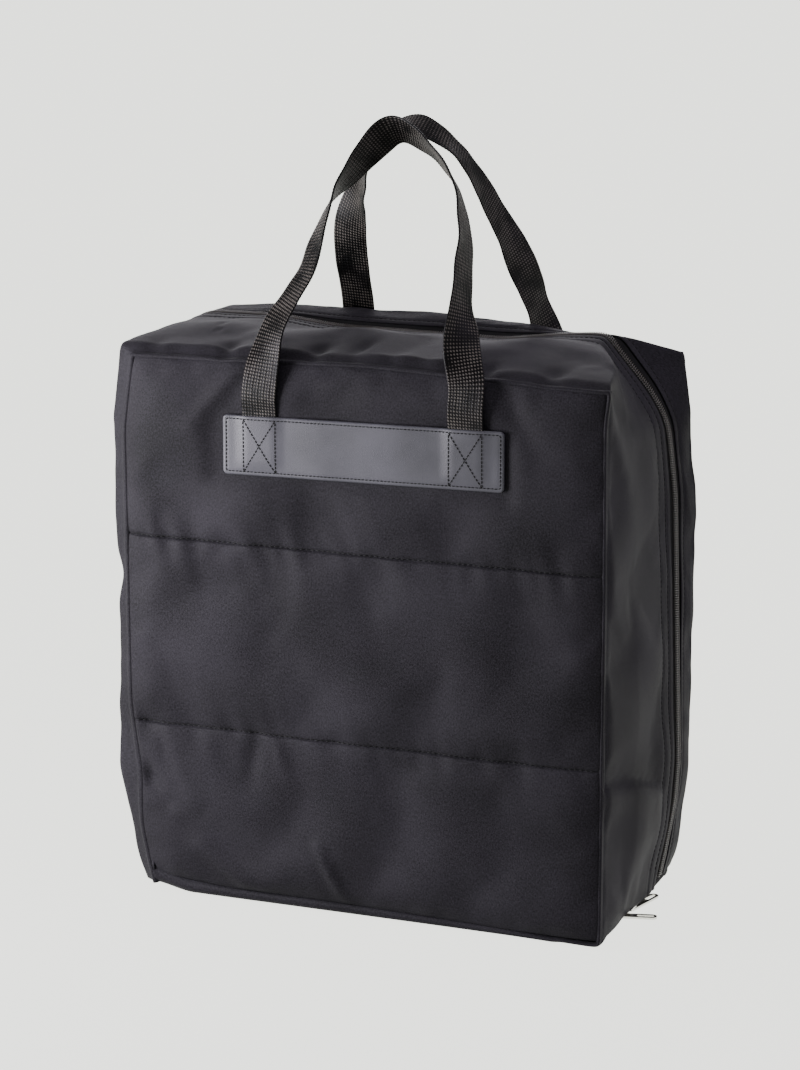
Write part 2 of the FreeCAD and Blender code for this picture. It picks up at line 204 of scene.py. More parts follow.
# ---- meshes ----------------------------------------------------------------------------------
def make_mesh(name, points, faces, material, uv=None):
    """A mesh object from points in millimetres and arrays of faces, with its UV map called cloth."""
    points = np.asarray(points, float).reshape(-1, 3) * MM
    faces = [np.asarray(f, np.int32) for f in (faces if isinstance(faces, list) else [faces])]
    corners = np.concatenate([f.ravel() for f in faces])
    sizes = np.concatenate([np.full(len(f), f.shape[1]) for f in faces])
    mesh = bpy.data.meshes.new(name)
    mesh.vertices.add(len(points))
    mesh.vertices.foreach_set("co", points.ravel())
    mesh.loops.add(len(corners))
    mesh.loops.foreach_set("vertex_index", corners)
    mesh.polygons.add(len(sizes))
    starts = np.concatenate([[0], np.cumsum(sizes)[:-1]])
    mesh.polygons.foreach_set("loop_start", starts.astype(np.int32))
    mesh.update(calc_edges=True)
    mesh.polygons.foreach_set("use_smooth", np.ones(len(sizes), bool))
    if uv is not None:
        layer = mesh.uv_layers.new(name="cloth")
        layer.data.foreach_set("uv", (np.asarray(uv, float).reshape(-1, 2) * MM)[corners].ravel())
    mesh.materials.append(material)
    obj = bpy.data.objects.new(name, mesh)
    bpy.context.scene.collection.objects.link(obj)
    return obj


def quads(rows, cols, flip=False, offset=0):
    """Faces of a rows by cols grid of points."""
    index = np.arange(rows * cols).reshape(rows, cols) + offset
    f = np.stack([index[:-1, :-1], index[:-1, 1:], index[1:, 1:], index[1:, :-1]], -1).reshape(-1, 4)
    return f[:, ::-1] if flip else f


def grid_uv(grid):
    """Distances along and across a grid, in millimetres."""
    u = np.linalg.norm(np.diff(grid, axis=1), axis=2).mean(0)
    v = np.linalg.norm(np.diff(grid, axis=0), axis=2).mean(1)
    u, v = np.concatenate([[0], np.cumsum(u)]), np.concatenate([[0], np.cumsum(v)])
    return np.stack(np.broadcast_arrays(u[None, :], v[:, None]), -1)


def instances(name, shape, faces, origins, across, along, up, material, body):
    """One mesh of many copies of a small shape, each in its own three axes."""
    shape = np.asarray(shape, float)
    points = (origins[:, None, :] + shape[None, :, 0:1] * across[:, None, :]
              + shape[None, :, 1:2] * along[:, None, :] + shape[None, :, 2:3] * up[:, None, :])
    steps = np.arange(len(origins))[:, None, None] * len(shape)
    built = [(np.asarray(f)[None] + steps).reshape(-1, np.asarray(f).shape[1]) for f in faces]
    obj = make_mesh(name, points.reshape(-1, 3), built, material)
    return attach(obj, body)


def tube_shape(path, radii):
    """Points and faces of a tube with closed ends along a short path in its own axes."""
    sides = 6
    path = np.asarray(path, float)
    tangent = unit(np.gradient(path, axis=0))
    side = unit(np.cross(tangent, (0.31, 0.17, 0.93)))
    other = np.cross(tangent, side)
    angles = np.arange(sides) * 2 * math.pi / sides
    rings = [p + r * (np.cos(angles)[:, None] * a + np.sin(angles)[:, None] * b)
             for p, r, a, b in zip(path, radii, side, other)]
    points = np.concatenate(rings + [path[:1], path[-1:]])
    n = len(path)
    j = np.arange(sides)
    k = (j + 1) % sides
    walls = np.concatenate([np.stack([i + j, i + k, i + sides + k, i + sides + j], -1)
                            for i in sides * np.arange(n - 1)])
    low = np.stack([k, j, np.full(sides, n * sides)], -1)
    high = np.stack([(n - 1) * sides + j, (n - 1) * sides + k, np.full(sides, n * sides + 1)], -1)
    return points, [walls, np.concatenate([low, high])]


# ---- materials -------------------------------------------------------------------------------
def new_material(name, colour, roughness, **sockets):
    """A material with its node tree and shader; socket names have _ for each space."""
    material = bpy.data.materials.new(name)
    material.use_nodes = True
    shader = material.node_tree.nodes["Principled BSDF"]
    shader.inputs["Base Color"].default_value = (*colour, 1)
    shader.inputs["Roughness"].default_value = roughness
    for key, value in sockets.items():
        shader.inputs[key.replace("_", " ")].default_value = value
    return material, material.node_tree, shader


def node(tree, kind, values=None, links=None, **settings):
    """A node with its settings, socket values and incoming links."""
    made = tree.nodes.new(kind)
    for key, value in settings.items():
        setattr(made, key, value)
    for key, value in (values or {}).items():
        made.inputs[key].default_value = value
    for key, source in (links or {}).items():
        tree.links.new(source, made.inputs[key])
    return made


def math_node(tree, operation, *values):
    """The result of a math node on numbers or on other nodes' outputs."""
    made = node(tree, "ShaderNodeMath", operation=operation)
    for socket, value in zip(made.inputs, values):
        if isinstance(value, (int, float)):
            socket.default_value = value
        else:
            tree.links.new(value, socket)
    return made.outputs[0]


def times_plus(tree, value, factor, other):
    """value times factor, plus other."""
    return math_node(tree, "ADD", math_node(tree, "MULTIPLY", value, factor), other)


def ramp(tree, factor, low, high, at=(0.3, 0.7)):
    """A colour that goes from low to high between two values of factor."""
    made = node(tree, "ShaderNodeValToRGB", links={"Fac": factor})
    for element, place, colour in zip(made.color_ramp.elements, at, (low, high)):
        element.position = place
        element.color = (*colour, 1)
    return made.outputs["Color"]


def on_body(tree):
    """Places in the object's own metres."""
    return node(tree, "ShaderNodeTexCoord").outputs["Object"]


def on_cloth(tree):
    """Places on the UV map called cloth, in metres: whole, then across, then along."""
    place = node(tree, "ShaderNodeUVMap", uv_map="cloth").outputs[0]
    parts = node(tree, "ShaderNodeSeparateXYZ", links={"Vector": place}).outputs
    return place, parts["X"], parts["Y"]


def stretched(tree, place, across, along):
    return node(tree, "ShaderNodeMapping", {"Scale": (across, along, 1)}, {"Vector": place}).outputs[0]


def noise(tree, place, scale, detail):
    made = node(tree, "ShaderNodeTexNoise", {"Scale": scale, "Detail": detail}, {"Vector": place})
    return made.outputs["Fac"]


def cracks(tree, place, scale):
    """Height that falls to 0 along the edges of random cells."""
    made = node(tree, "ShaderNodeTexVoronoi", feature="DISTANCE_TO_EDGE")
    made.inputs["Scale"].default_value = scale
    tree.links.new(place, made.inputs["Vector"])
    return made.outputs[0]


def dress(tree, shader, colour, rough, height, strength, distance):
    """Gives a shader its colour, its roughness and a relief of that strength and distance."""
    tree.links.new(colour, shader.inputs["Base Color"])
    tree.links.new(rough, shader.inputs["Roughness"])
    bumped = node(tree, "ShaderNodeBump", {"Strength": strength, "Distance": distance}, {"Height": height})
    tree.links.new(bumped.outputs[0], shader.inputs["Normal"])


def woven(name, colour, light, roughness, pitch, sheen, bump=0.25):
    """Woven polyester: a fine plain weave, faint streaks along the yarns, and broad paler patches of painted
    sheen that also change the roughness.
    """
    material, tree, shader = new_material(name, colour, roughness, Sheen_Weight=sheen,
                                          Sheen_Roughness=0.45, Specular_IOR_Level=0.03)
    place, across, along = on_cloth(tree)
    yarns = [math_node(tree, "SINE", math_node(tree, "MULTIPLY", way, math.pi / (pitch * MM)))
             for way in (across, along)]
    streaks = noise(tree, stretched(tree, place, 900, 500), 1.0, 3.0)
    grain = noise(tree, place, 950.0, 2.0)
    broad = noise(tree, on_body(tree), 14.0, 4.0)
    mixed = times_plus(tree, streaks, 0.3, math_node(tree, "MULTIPLY", grain, 0.35))
    # broad makes paler patches in the colour: painted sheen
    tint = ramp(tree, times_plus(tree, broad, 0.3, mixed), colour, light, (0.36, 0.64))
    rough = times_plus(tree, broad, 0.2, roughness - 0.1)
    relief = times_plus(tree, grain, 0.8, math_node(tree, "MULTIPLY", *yarns))
    dress(tree, shader, tint, rough, relief, bump, 0.0002)
    return material


def webbing_material():
    """Polypropylene webbing: black, with a painted highlight on each float of the weave and painted shade in
    the gaps between.
    """
    material, tree, shader = new_material("webbing", (0.02, 0.019, 0.019), 0.42, Specular_IOR_Level=0.06)
    place, across, along = on_cloth(tree)
    row = math_node(tree, "MULTIPLY", along, 1 / (WEAVE_ROW * MM))
    half_row = math_node(tree, "SUBTRACT", math_node(tree, "FRACT", row), 0.5)
    slant = math_node(tree, "MULTIPLY", half_row, -0.4)
    column = times_plus(tree, across, WEAVE_COLUMNS / (STRAP_WIDTH * MM), slant)
    lobes = [math_node(tree, "ABSOLUTE", math_node(tree, "SINE", math_node(tree, "MULTIPLY", way, math.pi)))
             for way in (row, column)]
    grain = noise(tree, stretched(tree, place, 5200, 700), 1.0, 2.0)
    broad = noise(tree, on_body(tree), 60.0, 3.0)
    # lit is painted light: a highlight on the floats and near-black shade between them
    lit = math_node(tree, "MULTIPLY", math_node(tree, "MULTIPLY", *lobes), broad)
    tint = ramp(tree, lit, (0.0006, 0.0006, 0.0006), (0.05, 0.0445, 0.039), (0.3, 0.44))
    dress(tree, shader, tint, times_plus(tree, grain, 0.25, 0.28), grain, 0.5, 0.0002)
    return material


def leather_material():
    """Slate-grey coated leatherette with a fine pebble grain."""
    material, tree, shader = new_material("leatherette", (0.05, 0.05, 0.058), 0.5, Specular_IOR_Level=0.2)
    body = on_body(tree)
    broad = noise(tree, body, 30.0, 5.0)
    tint = ramp(tree, broad, (0.02, 0.02, 0.0238), (0.034, 0.0335, 0.04), (0.3, 0.75))
    dress(tree, shader, tint, times_plus(tree, broad, 0.3, 0.32), cracks(tree, body, 900.0), 0.35, 0.00025)
    return material


def foil_material():
    """Metallised lining film with fine creases."""
    material, tree, shader = new_material("foil_lining", (0.62, 0.63, 0.65), 0.32, Metallic=0.85)
    body = on_body(tree)
    fine = noise(tree, body, 400.0, 4.0)
    tint = ramp(tree, fine, (0.5, 0.51, 0.53), (0.72, 0.73, 0.75))
    height = times_plus(tree, fine, 0.15, cracks(tree, body, 70.0))
    dress(tree, shader, tint, times_plus(tree, fine, 0.2, 0.2), height, 0.5, 0.002)
    return material


def speckled(name, colour, light, roughness, scale, bump, distance, **sockets):
    """A material with grain of one size: foam, board, thread, coil and metal are made from it."""
    material, tree, shader = new_material(name, colour, roughness, **sockets)
    grain = noise(tree, on_body(tree), scale, 3.0)
    rough = times_plus(tree, grain, 0.16, roughness - 0.08)
    dress(tree, shader, ramp(tree, grain, colour, light), rough, grain, bump, distance)
    return material


def grey(level):
    return level, level, level


WEAVE_COLUMNS, WEAVE_ROW = 12, 2.3
SHELL = woven("shell_fabric", (0.0034, 0.0032, 0.0037), (0.0182, 0.0169, 0.0201), 0.55, 0.45, 0.015)
WEBBING = webbing_material()
LEATHER = leather_material()
FOIL = foil_material()
TAPE = woven("zip_tape", grey(0.002), grey(0.008), 0.75, 0.6, 0.02, bump=0.5)
BINDING = woven("binding", grey(0.004), (0.014, 0.0135, 0.014), 0.7, 0.8, 0.02, bump=0.5)
FOAM = speckled("foam", (0.72, 0.72, 0.69), (0.86, 0.86, 0.83), 0.9, 1200.0, 0.6, 0.0004)
BOARD = speckled("board", grey(0.07), grey(0.11), 0.7, 500.0, 0.2, 0.0002)
THREAD = speckled("thread", (0.0015, 0.0015, 0.0016), grey(0.006), 0.55, 3000.0, 0.4, 0.0001,
                  Specular_IOR_Level=0.1)
COIL = speckled("zip_coil", (0.01, 0.0085, 0.0065), (0.04, 0.034, 0.026), 0.3, 700.0, 0.1, 0.0001,
                Specular_IOR_Level=0.5)
NICKEL = speckled("nickel", (0.55, 0.54, 0.51), (0.68, 0.67, 0.64), 0.22, 900.0, 0.1, 0.0001, Metallic=1.0)


# ---- the bag's shape -------------------------------------------------------------------------
# How wide the soft bag stands at several depths, as (height, distance from the middle), to its left and
# to its right; then the height of its top, as (place across, height).
LEFT = {
    -80: ((0, 160), (20, 165), (50, 171), (90, 171), (140, 178), (335, 179), (392, 171)),
    -72: ((0, 168), (20, 177), (55, 184), (85, 190), (210, 188), (227, 184), (245, 190), (340, 190),
          (394, 183)),
    -40: ((0, 171), (55, 185), (90, 188), (337, 188), (395, 183)),
    60: ((0, 172), (55, 183), (90, 185), (337, 185), (398, 180)),
    80: ((0, 168), (55, 172), (337, 173), (398, 171)),
}
RIGHT = {
    -80: ((0, 170), (250, 170), (365, 169), (392, 172)),
    -30: ((0, 169), (60, 177), (150, 177), (290, 173), (346, 171), (370, 165), (398, 157)),
    22: ((0, 171), (60, 181), (110, 183), (290, 176), (345, 171), (365, 158), (400, 129)),
    44: ((0, 171), (35, 178), (70, 184), (100, 186), (290, 180), (340, 174), (360, 163), (400, 128)),
    58: ((0, 170), (25, 177), (85, 185), (290, 182), (340, 176), (365, 164), (400, 136)),
    73: ((0, 169), (25, 177), (85, 184), (280, 186), (345, 180), (398, 172)),
    80: ((0, 167), (85, 172), (345, 173), (398, 172)),
}
TOP = {
    -80: ((-172, 386), (-110, 387), (0, 390), (60, 388), (150, 384), (173, 384)),
    -70: ((-185, 392), (0, 395), (60, 394), (173, 387)),
    -12: ((-185, 395), (0, 398), (172, 395)),
    44: ((-185, 396), (-115, 397), (-75, 392), (55, 391), (90, 396), (120, 399), (170, 398)),
    60: ((-185, 395), (-130, 398), (50, 397), (130, 394), (170, 392)),
    73: ((-185, 394), (-130, 399), (0, 400), (50, 397), (100, 393), (160, 384), (175, 384)),
    80: ((-175, 390), (-120, 393), (0, 394), (80, 390), (160, 379), (173, 384)),
}
# How the wall's section is rounded at its two top corners, as (depth, left smoothing, right smoothing).
CORNERS = ((-80, 1.5, 1.5), (-74, 2.5, 2.0), (-40, 11, 8), (20, 20, 7), (60, 20, 8), (74, 12, 2.5),
           (80, 5, 1.2))
# The front foot seam's height, as (place across, height).
FOOT_LINE = ((-172, 13), (-160, 12.5), (-110, 9), (-20, 8.5), (60, 7), (110, 5.2), (172, 5))
# Folds of the front panel, as (start, end, width, amount), and of the back panel.
PANEL_FOLDS = (
    ((-176, 98), (-150, 70), 6.5, -3.0),
    ((-140, 84), (-120, 62), 12, 1.4),
    ((-124, 37), (-84, 8), 8, 1.8),
    ((-34, 50), (-15, 9), 4.5, 2.0),
    ((-79, 124), (-86, 92), 6, -1.6),
    ((-64, 124), (-58, 96), 5, 1.1),
    ((-90, 388), (-120, 344), 7, 1.6),
    ((-20, 330), (60, 300), 22, -1.0),
    ((96, 388), (128, 340), 9, -1.1),
)
BACK_FOLDS = (((-60, 60), (-30, 20), 9, 1.2), ((110, 200), (80, 150), 12, -0.9))
# Dimples in the top, as (place across, depth, width, width in depth, amount).
TOP_DIMPLES = ((-104, -68, 7, 11, 2.4), (-40, -62, 6, 12, 2.0), (-12, -50, 5, 13, 1.8), (84, -69, 6, 10, 2.6),
               (128, -64, 7, 15, 2.2))
# Depths of the walls' topstitching: two rows on the front wall, one on the lid's.
STITCH_ROWS = (19.5, 30.0, 57.0)
SIDE_COUNT, TOP_COUNT = 96, 91


def along_depth(table, y, places):
    """The table's curve at depth y, at all the places asked for."""
    depths = sorted(table)
    y = min(max(y, depths[0]), depths[-1])
    after = next(i for i, d in enumerate(depths) if d >= y and i > 0)
    near, far = depths[after - 1], depths[after]
    share = (y - near) / (far - near)
    return through(places, table[near]) * (1 - share) + through(places, table[far]) * share


HEIGHTS, ACROSS = np.arange(-20.0, 421.0), np.arange(-240.0, 241.0)


def sides(y):
    """Functions for a depth: left and right distances by height, and the top's height by place across."""
    def rounded(table, places):
        curve = smooth_rows(along_depth(table, y, places)[:, None], 5)[:, 0]
        return lambda at: np.interp(at, places, curve)

    return rounded(LEFT, HEIGHTS), rounded(RIGHT, HEIGHTS), rounded(TOP, ACROSS)


SEAM_SIDES = {side: sides(side * SEAM_Y) for side in (-1, 1)}


def wall_section(y, low):
    """Points (x, z) and outward normals of the wall's section, from left foot over the top to right foot."""
    left, right, top = sides(y)
    heights = np.arange(low, 405, 0.5)
    parts = []
    for sign, side in ((-1, left), (1, right)):
        x = sign * side(heights)
        end = np.flatnonzero(heights >= top(x))[0]
        parts.append(np.stack([x[:end], heights[:end]], 1))
    x = np.arange(parts[0][-1, 0], parts[1][-1, 0], 0.5)
    over = np.stack([x, top(x)], 1)
    line = resample(np.concatenate([parts[0], over[1:], parts[1][::-1]]), 2400)
    sharp = [through(y, [(c[0], c[i]) for c in CORNERS]) for i in (1, 2)]
    soft = [smooth_rows(line, max(radius, 0.5) / 0.5 * 0.6) for radius in sharp]
    share = ease(line[:, 0], -30, 30)[:, None]
    line = soft[0] * (1 - share) + soft[1] * share
    ends = [int(np.argmin(np.hypot(*(line - corner).T))) for corner in (over[0], over[-1])]
    left_line, top_line = resample(line[:ends[0] + 1], SIDE_COUNT), line[ends[0]:ends[1] + 1]
    right_line = resample(line[ends[1]:], SIDE_COUNT)
    line = np.concatenate([left_line[:-1], resample(top_line, TOP_COUNT), right_line[1:]])
    tangent = unit(smooth_rows(np.gradient(line, axis=0), 0.7))
    return line, np.stack([-tangent[:, 1], tangent[:, 0]], 1)


def settle_panel(points, side):
    """Moves a flat panel's points to the soft bag's slack seams; side is -1 at the front, 1 at the back."""
    left, right, top = SEAM_SIDES[side]
    x, z = points[..., 0], points[..., 2]
    moved = points.copy()
    height = z + (top(x) - SEAM_TOP) * ease(z, 270, SEAM_TOP)
    if side < 0:
        height = height + (through(x, FOOT_LINE) - SEAM_BOTTOM) * ease(-z, -60, -SEAM_BOTTOM)
    moved[..., 2] = height
    moved[..., 0] = (x - ease(-x, -40, SEAM_X) * (left(height) - SEAM_X)
                     + ease(x, -40, SEAM_X) * (right(height) - SEAM_X))
    return moved


def fold(a, b, start, end, width, amount):
    """A soft ridge, or valley, along a line between two places on a surface with coordinates a and b."""
    start, end = np.array(start, float), np.array(end, float)
    line = end - start
    share = np.clip(((a - start[0]) * line[0] + (b - start[1]) * line[1]) / (line @ line), 0, 1)
    away = np.hypot(a - start[0] - share * line[0], b - start[1] - share * line[1])
    fade = 0.35 + 0.65 * np.sin(math.pi * np.clip(share + 0.12, 0, 1))
    return amount * np.exp(-((away / width) ** 2)) * fade


def wall_relief(points, normals):
    """How far the fabric stands out of the plain wall: the right side's crease, dimples and soft waves."""
    x, y, z = points[..., 0], points[..., 1], points[..., 2]
    side = np.clip(np.abs(normals[..., 0]), 0, 1) ** 2
    top = np.clip(normals[..., 2], 0, 1) ** 2
    above = z - (121 - 0.29 * (y + SEAM_Y)) + 1.5 * np.sin(y / 17)
    fall = np.where(above > 0, np.exp(-np.abs(above) / 17), np.exp(-((above / 5.5) ** 2)))
    step = -3.6 * fall + 1.6 * hill(above, -13, 11)
    out = side * step * ease(-y, -24, -4) * (x > 0) * ease(y, -81, -76)
    out = out + top * 1.6 * hill(y, -20, 34) * ease(-np.abs(x), -165, -110)
    for place, depth, wide, deep, amount in TOP_DIMPLES:
        out = out - 1.3 * top * amount * hill(x, place, wide) * hill(y, depth, deep)
    out = out + top * fold(x, y, (-127, -36), (-141, 20), 1.4, -0.9)
    out = out + top * fold(x, y, (-96, -34), (-60, -58), 9, 1.4)
    out = out + side * (x > 0) * fold(y, z, (-79, 384), (-46, 318), 9, 2.0)
    out = out + side * (x > 0) * fold(y, z, (-70, 384), (-28, 352), 6, -2.0)
    quiet = 1 - 0.75 * hill(y, ZIP_Y, 16)
    out = out + 0.75 * quiet * waves(y * 1.4, x + z, 80, 11) * ease(SEAM_Y - np.abs(y), 1, 12)
    near_seam = np.exp(-(SEAM_Y - np.abs(y)) / 9.0) * ease(SEAM_Y - np.abs(y), 0.5, 5)
    along = np.where(side > 0.5, z, x)
    out = out + 0.55 * near_seam * waves(along, y * 0.2 + np.sign(x) * 90 * (side > 0.5), 26, 5)
    out = out + 0.9 * top * near_seam * (y < 0) * waves(x, 0 * x, 17, 41)
    grooves = sum(0.55 * hill(y, row, 1.1) for row in STITCH_ROWS)
    return out - grooves - 0.9 * hill(y, -76.2, 1.8)


def wall_grid(rows, low, relief=True):
    """Wall points from rows of (depth, depth of its section, inset), with outward normals."""
    points, normals = [], []
    for y, section_y, inset in rows:
        line, normal = wall_section(section_y, low)
        line = line - normal * inset
        points.append(np.stack([line[:, 0], np.full(len(line), y), line[:, 1]], 1))
        normals.append(np.stack([normal[:, 0], np.zeros(len(line)), normal[:, 1]], 1))
    points, normals = np.array(points), np.array(normals)
    if relief:
        points = points + normals * wall_relief(points, normals)[..., None]
    return points, normals


def drape(name, grid, pinned, outward, slack, pressure, cap, sink):
    """Lets a grid go as slack cloth under a little inner pressure, held where pinned.

    It moves no more than about cap, and sinks no more than sink.
    """
    frames = 20
    rows, cols = grid.shape[:2]
    normals = grid_normals(grid, outward)
    i, j = rows // 2, cols // 2
    flip = np.cross(grid[i, j + 1] - grid[i, j], grid[i + 1, j] - grid[i, j]) @ normals[i, j] < 0
    shake = np.random.default_rng(rows * cols).standard_normal((rows, cols, 1)) * ~pinned[..., None]
    start = grid + normals * (0.12 * shake)
    obj = make_mesh(name, start, quads(rows, cols, flip), SHELL)
    group = obj.vertex_groups.new(name="held")
    group.add(np.flatnonzero(pinned.ravel()).tolist(), 1.0, "REPLACE")
    cloth = obj.modifiers.new("Cloth", "CLOTH")
    settings = cloth.settings
    settings.quality, settings.mass = 5, 0.2
    settings.tension_stiffness = settings.compression_stiffness = 25
    settings.shear_stiffness, settings.bending_stiffness = 8, 2.0
    settings.tension_damping = settings.compression_damping = 10
    settings.shrink_min = settings.shrink_max = -slack
    settings.vertex_group_mass = "held"
    settings.use_pressure = True
    settings.uniform_pressure_force = pressure
    settings.effector_weights.gravity = 0
    cloth.collision_settings.use_collision = False
    cloth.collision_settings.use_self_collision = False
    cloth.point_cache.frame_start, cloth.point_cache.frame_end = 1, frames
    for step in range(1, frames + 1):
        bpy.context.scene.frame_set(step)
    settled = obj.evaluated_get(bpy.context.evaluated_depsgraph_get()).to_mesh()
    points = np.zeros(rows * cols * 3)
    settled.vertices.foreach_get("co", points)
    move = points.reshape(grid.shape) / MM - grid
    print("drape", name, "largest move", float(np.abs(move).max()), "mm")
    bpy.data.objects.remove(obj)
    bpy.context.scene.frame_set(1)
    move = smooth_rows(smooth_rows(move, 0.8).swapaxes(0, 1), 0.8).swapaxes(0, 1)
    size = np.linalg.norm(move, axis=-1, keepdims=True)
    move = move * (cap * np.tanh(size / cap) / np.maximum(size, 1e-9))
    along = np.sum(move * normals, axis=-1, keepdims=True)
    move = move + normals * (np.maximum(along, -sink) - along)
    return grid + move * ~pinned[..., None]


# ---- camera, floor and lights ----------------------------------------------------------------
def direction(azimuth, elevation):
    """Unit vector towards that azimuth (0 is the bag's front, 90 its right) and elevation, in radians."""
    flat = math.cos(elevation)
    return Vector((math.sin(azimuth) * flat, -math.cos(azimuth) * flat, math.sin(elevation)))


def add_camera():
    """The photograph's view: slightly above, from the bag's front right."""
    azimuth, elevation, distance = math.radians(21.33), math.radians(13.69), 2.3872
    data = bpy.data.cameras.new("camera")
    data.sensor_width, data.lens = 36.0, 114.76
    data.clip_start, data.clip_end = 0.05, 200
    camera = bpy.data.objects.new("camera", data)
    bpy.context.scene.collection.objects.link(camera)
    right = Vector((math.cos(azimuth), math.sin(azimuth), 0))
    back = direction(azimuth, elevation)
    aim = Vector((0, 0, 0.1947)) - right * 0.0059 + back.cross(right) * 0.0591
    camera.location = aim + back * distance
    camera.rotation_mode = "QUATERNION"
    camera.rotation_quaternion = (-back).to_track_quat("-Z", "Y")
    bpy.context.scene.camera = camera


def add_light(name, kind, azimuth, elevation, energy, colour, distance=0.0, **settings):
    """A light that shines at the middle of the bag from that azimuth and elevation, in degrees."""
    data = bpy.data.lights.new(name, kind)
    data.energy, data.color = energy, colour
    for key, value in settings.items():
        setattr(data, key, value)
    light = bpy.data.objects.new(name, data)
    bpy.context.scene.collection.objects.link(light)
    source = direction(math.radians(azimuth), math.radians(elevation))
    light.location = Vector((0, 0, 0.22)) + source * distance
    light.rotation_mode = "QUATERNION"
    light.rotation_quaternion = source.to_track_quat("Z", "Y")


def add_surroundings():
    """A floor that gives the photo's even background, a pale world, a soft box and three soft suns."""
    material, _, shader = new_material("floor", grey(0.05), 0.9, Specular_IOR_Level=0.0)
    shader.inputs["Emission Color"].default_value = (0.985, 1.0, 0.935, 1)
    shader.inputs["Emission Strength"].default_value = 2.2
    reach = 40000.0
    corners = [(-reach, -reach, 0), (reach, -reach, 0), (reach, reach, 0), (-reach, reach, 0)]
    floor = make_mesh("floor", corners, np.array([[0, 1, 2, 3]]), material)
    floor.visible_diffuse = False
    world = bpy.data.worlds.new("world")
    world.use_nodes = True
    background = world.node_tree.nodes["Background"]
    background.inputs["Color"].default_value = (0.97, 0.96, 1.0, 1)
    background.inputs["Strength"].default_value = 0.5
    bpy.context.scene.world = world
    add_light("key", "AREA", -51, 6, 26, (1.0, 0.97, 1.04), 0.76, size=0.4)
    for name, azimuth, elevation, energy, softness, colour in (
            ("fill", 86, 30, 2.0, 50, (1.09, 0.96, 1.2)),
            ("top", 20, 84, 2.1, 40, (1.02, 0.96, 1.05)),
            ("rim", 205, 12, 1.4, 50, (1.0, 0.97, 1.03))):
        add_light(name, "SUN", azimuth, elevation, energy, colour, angle=math.radians(softness))


# ---- blocks and stitches ---------------------------------------------------------------------
def block_object(name, outer, inner, outward, material, body):
    """A closed piece between two grids of the same size; outward is one direction or a grid of them."""
    rows, cols = outer.shape[:2]
    i, j = rows // 2, cols // 2
    facing = np.cross(outer[i, j + 1] - outer[i, j], outer[i + 1, j] - outer[i, j])
    flip = facing @ (outward if np.ndim(outward) == 1 else outward[i, j]) < 0
    count = rows * cols
    index = np.arange(count).reshape(rows, cols)
    ring = np.concatenate([index[0], index[1:, -1], index[-1, -2::-1], index[-2:0:-1, 0]])
    after = np.roll(ring, -1)
    rim = np.stack([ring, ring + count, after + count, after], -1)
    if flip:
        rim = rim[:, ::-1]
    faces = np.concatenate([quads(rows, cols, flip), quads(rows, cols, not flip, count), rim])
    uv = grid_uv(outer).reshape(-1, 2)
    points = np.concatenate([outer.reshape(-1, 3), inner.reshape(-1, 3)])
    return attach(make_mesh(name, points, faces, material, np.concatenate([uv, uv])), body)


def sheet_piece(name, grid, thickness, material, outward, body):
    """A closed piece of one thickness behind a grid."""
    normals = grid_normals(grid, outward)
    return block_object(name, grid, grid - normals * thickness, normals, material, body)


def stitch_shape(length, radius):
    """One stitch: a short thread that rises from the cloth and goes back into it."""
    t = np.linspace(-1, 1, 7)
    path = np.stack([t * length / 2, 0 * t, radius * 0.6 - 0.35 * np.abs(t) ** 3], 1)
    return tube_shape(path, radius * np.array([0.55, 0.9, 1, 1, 1, 0.9, 0.55]))


def stitches(name, lines, pitch, radius, body, lift=0.1):
    """Stitches along lines, each an array of points and one of normals."""
    origins, along, up = [], [], []
    for points, normals in lines:
        reach = distances(points)
        places = np.arange(pitch / 2, reach[-1], pitch)
        before, at, after = (at_places(places + step * pitch / 3, reach, points) for step in (-1, 0, 1))
        normal = unit(at_places(places, reach, normals))
        origins.append(at + normal * lift)
        along.append(unit(after - before))
        up.append(normal)
    origins, along, up = (np.concatenate(a) for a in (origins, along, up))
    shape, faces = stitch_shape(pitch * 0.74, radius)
    return instances(name, shape, faces, origins, along, np.cross(up, along), up, THREAD, body)


# ---- quilted panels --------------------------------------------------------------------------
def panel_rows(low, step):
    """Heights of a panel's rows, with one on each quilt line and closer rows there and at its edges."""
    edges = (low, *QUILT_LINES, SEAM_TOP)
    rows = [low + d for d in (0.0, 0.8, 2.0)]
    for start, end in zip(edges, edges[1:]):
        start = start + 4 if start == low else start + 2
        end = end - 4 if end == SEAM_TOP else end - 2
        rows += list(np.linspace(start, end, round((end - start) / step) + 1))
        rows += [end + d for d in (1.0, 1.5, 2.0, 2.5, 3.0)] if end + 2 in QUILT_LINES else []
    return np.array(rows + [SEAM_TOP - d for d in (2.0, 0.8, 0.0)])


def panel_columns(step):
    """Places of a panel's columns, closer at its edges."""
    inner = np.linspace(-SEAM_X + 4, SEAM_X - 4, round((2 * SEAM_X - 8) / step) + 1)
    edge = np.array([0.0, 0.8, 2.0])
    return np.concatenate([edge - SEAM_X, inner, SEAM_X - edge[::-1]])


def panel_depth(x, z, low):
    """How far the front of a quilted panel stands out of its seam plane; below 0 in the seam itself."""
    to_side, to_low, to_top = SEAM_X - np.abs(x), z - low, SEAM_TOP - z
    rise = roll(to_side, 24) * roll(to_low, 16) * roll(to_top, 20)
    groove = sum(np.exp(-np.abs(z - line) / 7) for line in QUILT_LINES)
    pinch = sum(hill(z, line, 1.0) for line in QUILT_LINES)
    edge = np.minimum(np.minimum(to_side, to_low), to_top)
    seam = 2.4 * (1 - np.clip(edge / 2.4, 0, 1)) ** 2
    return CROWN * rise - 1.2 - rise * (1.5 * groove + 1.7 * pinch) - seam


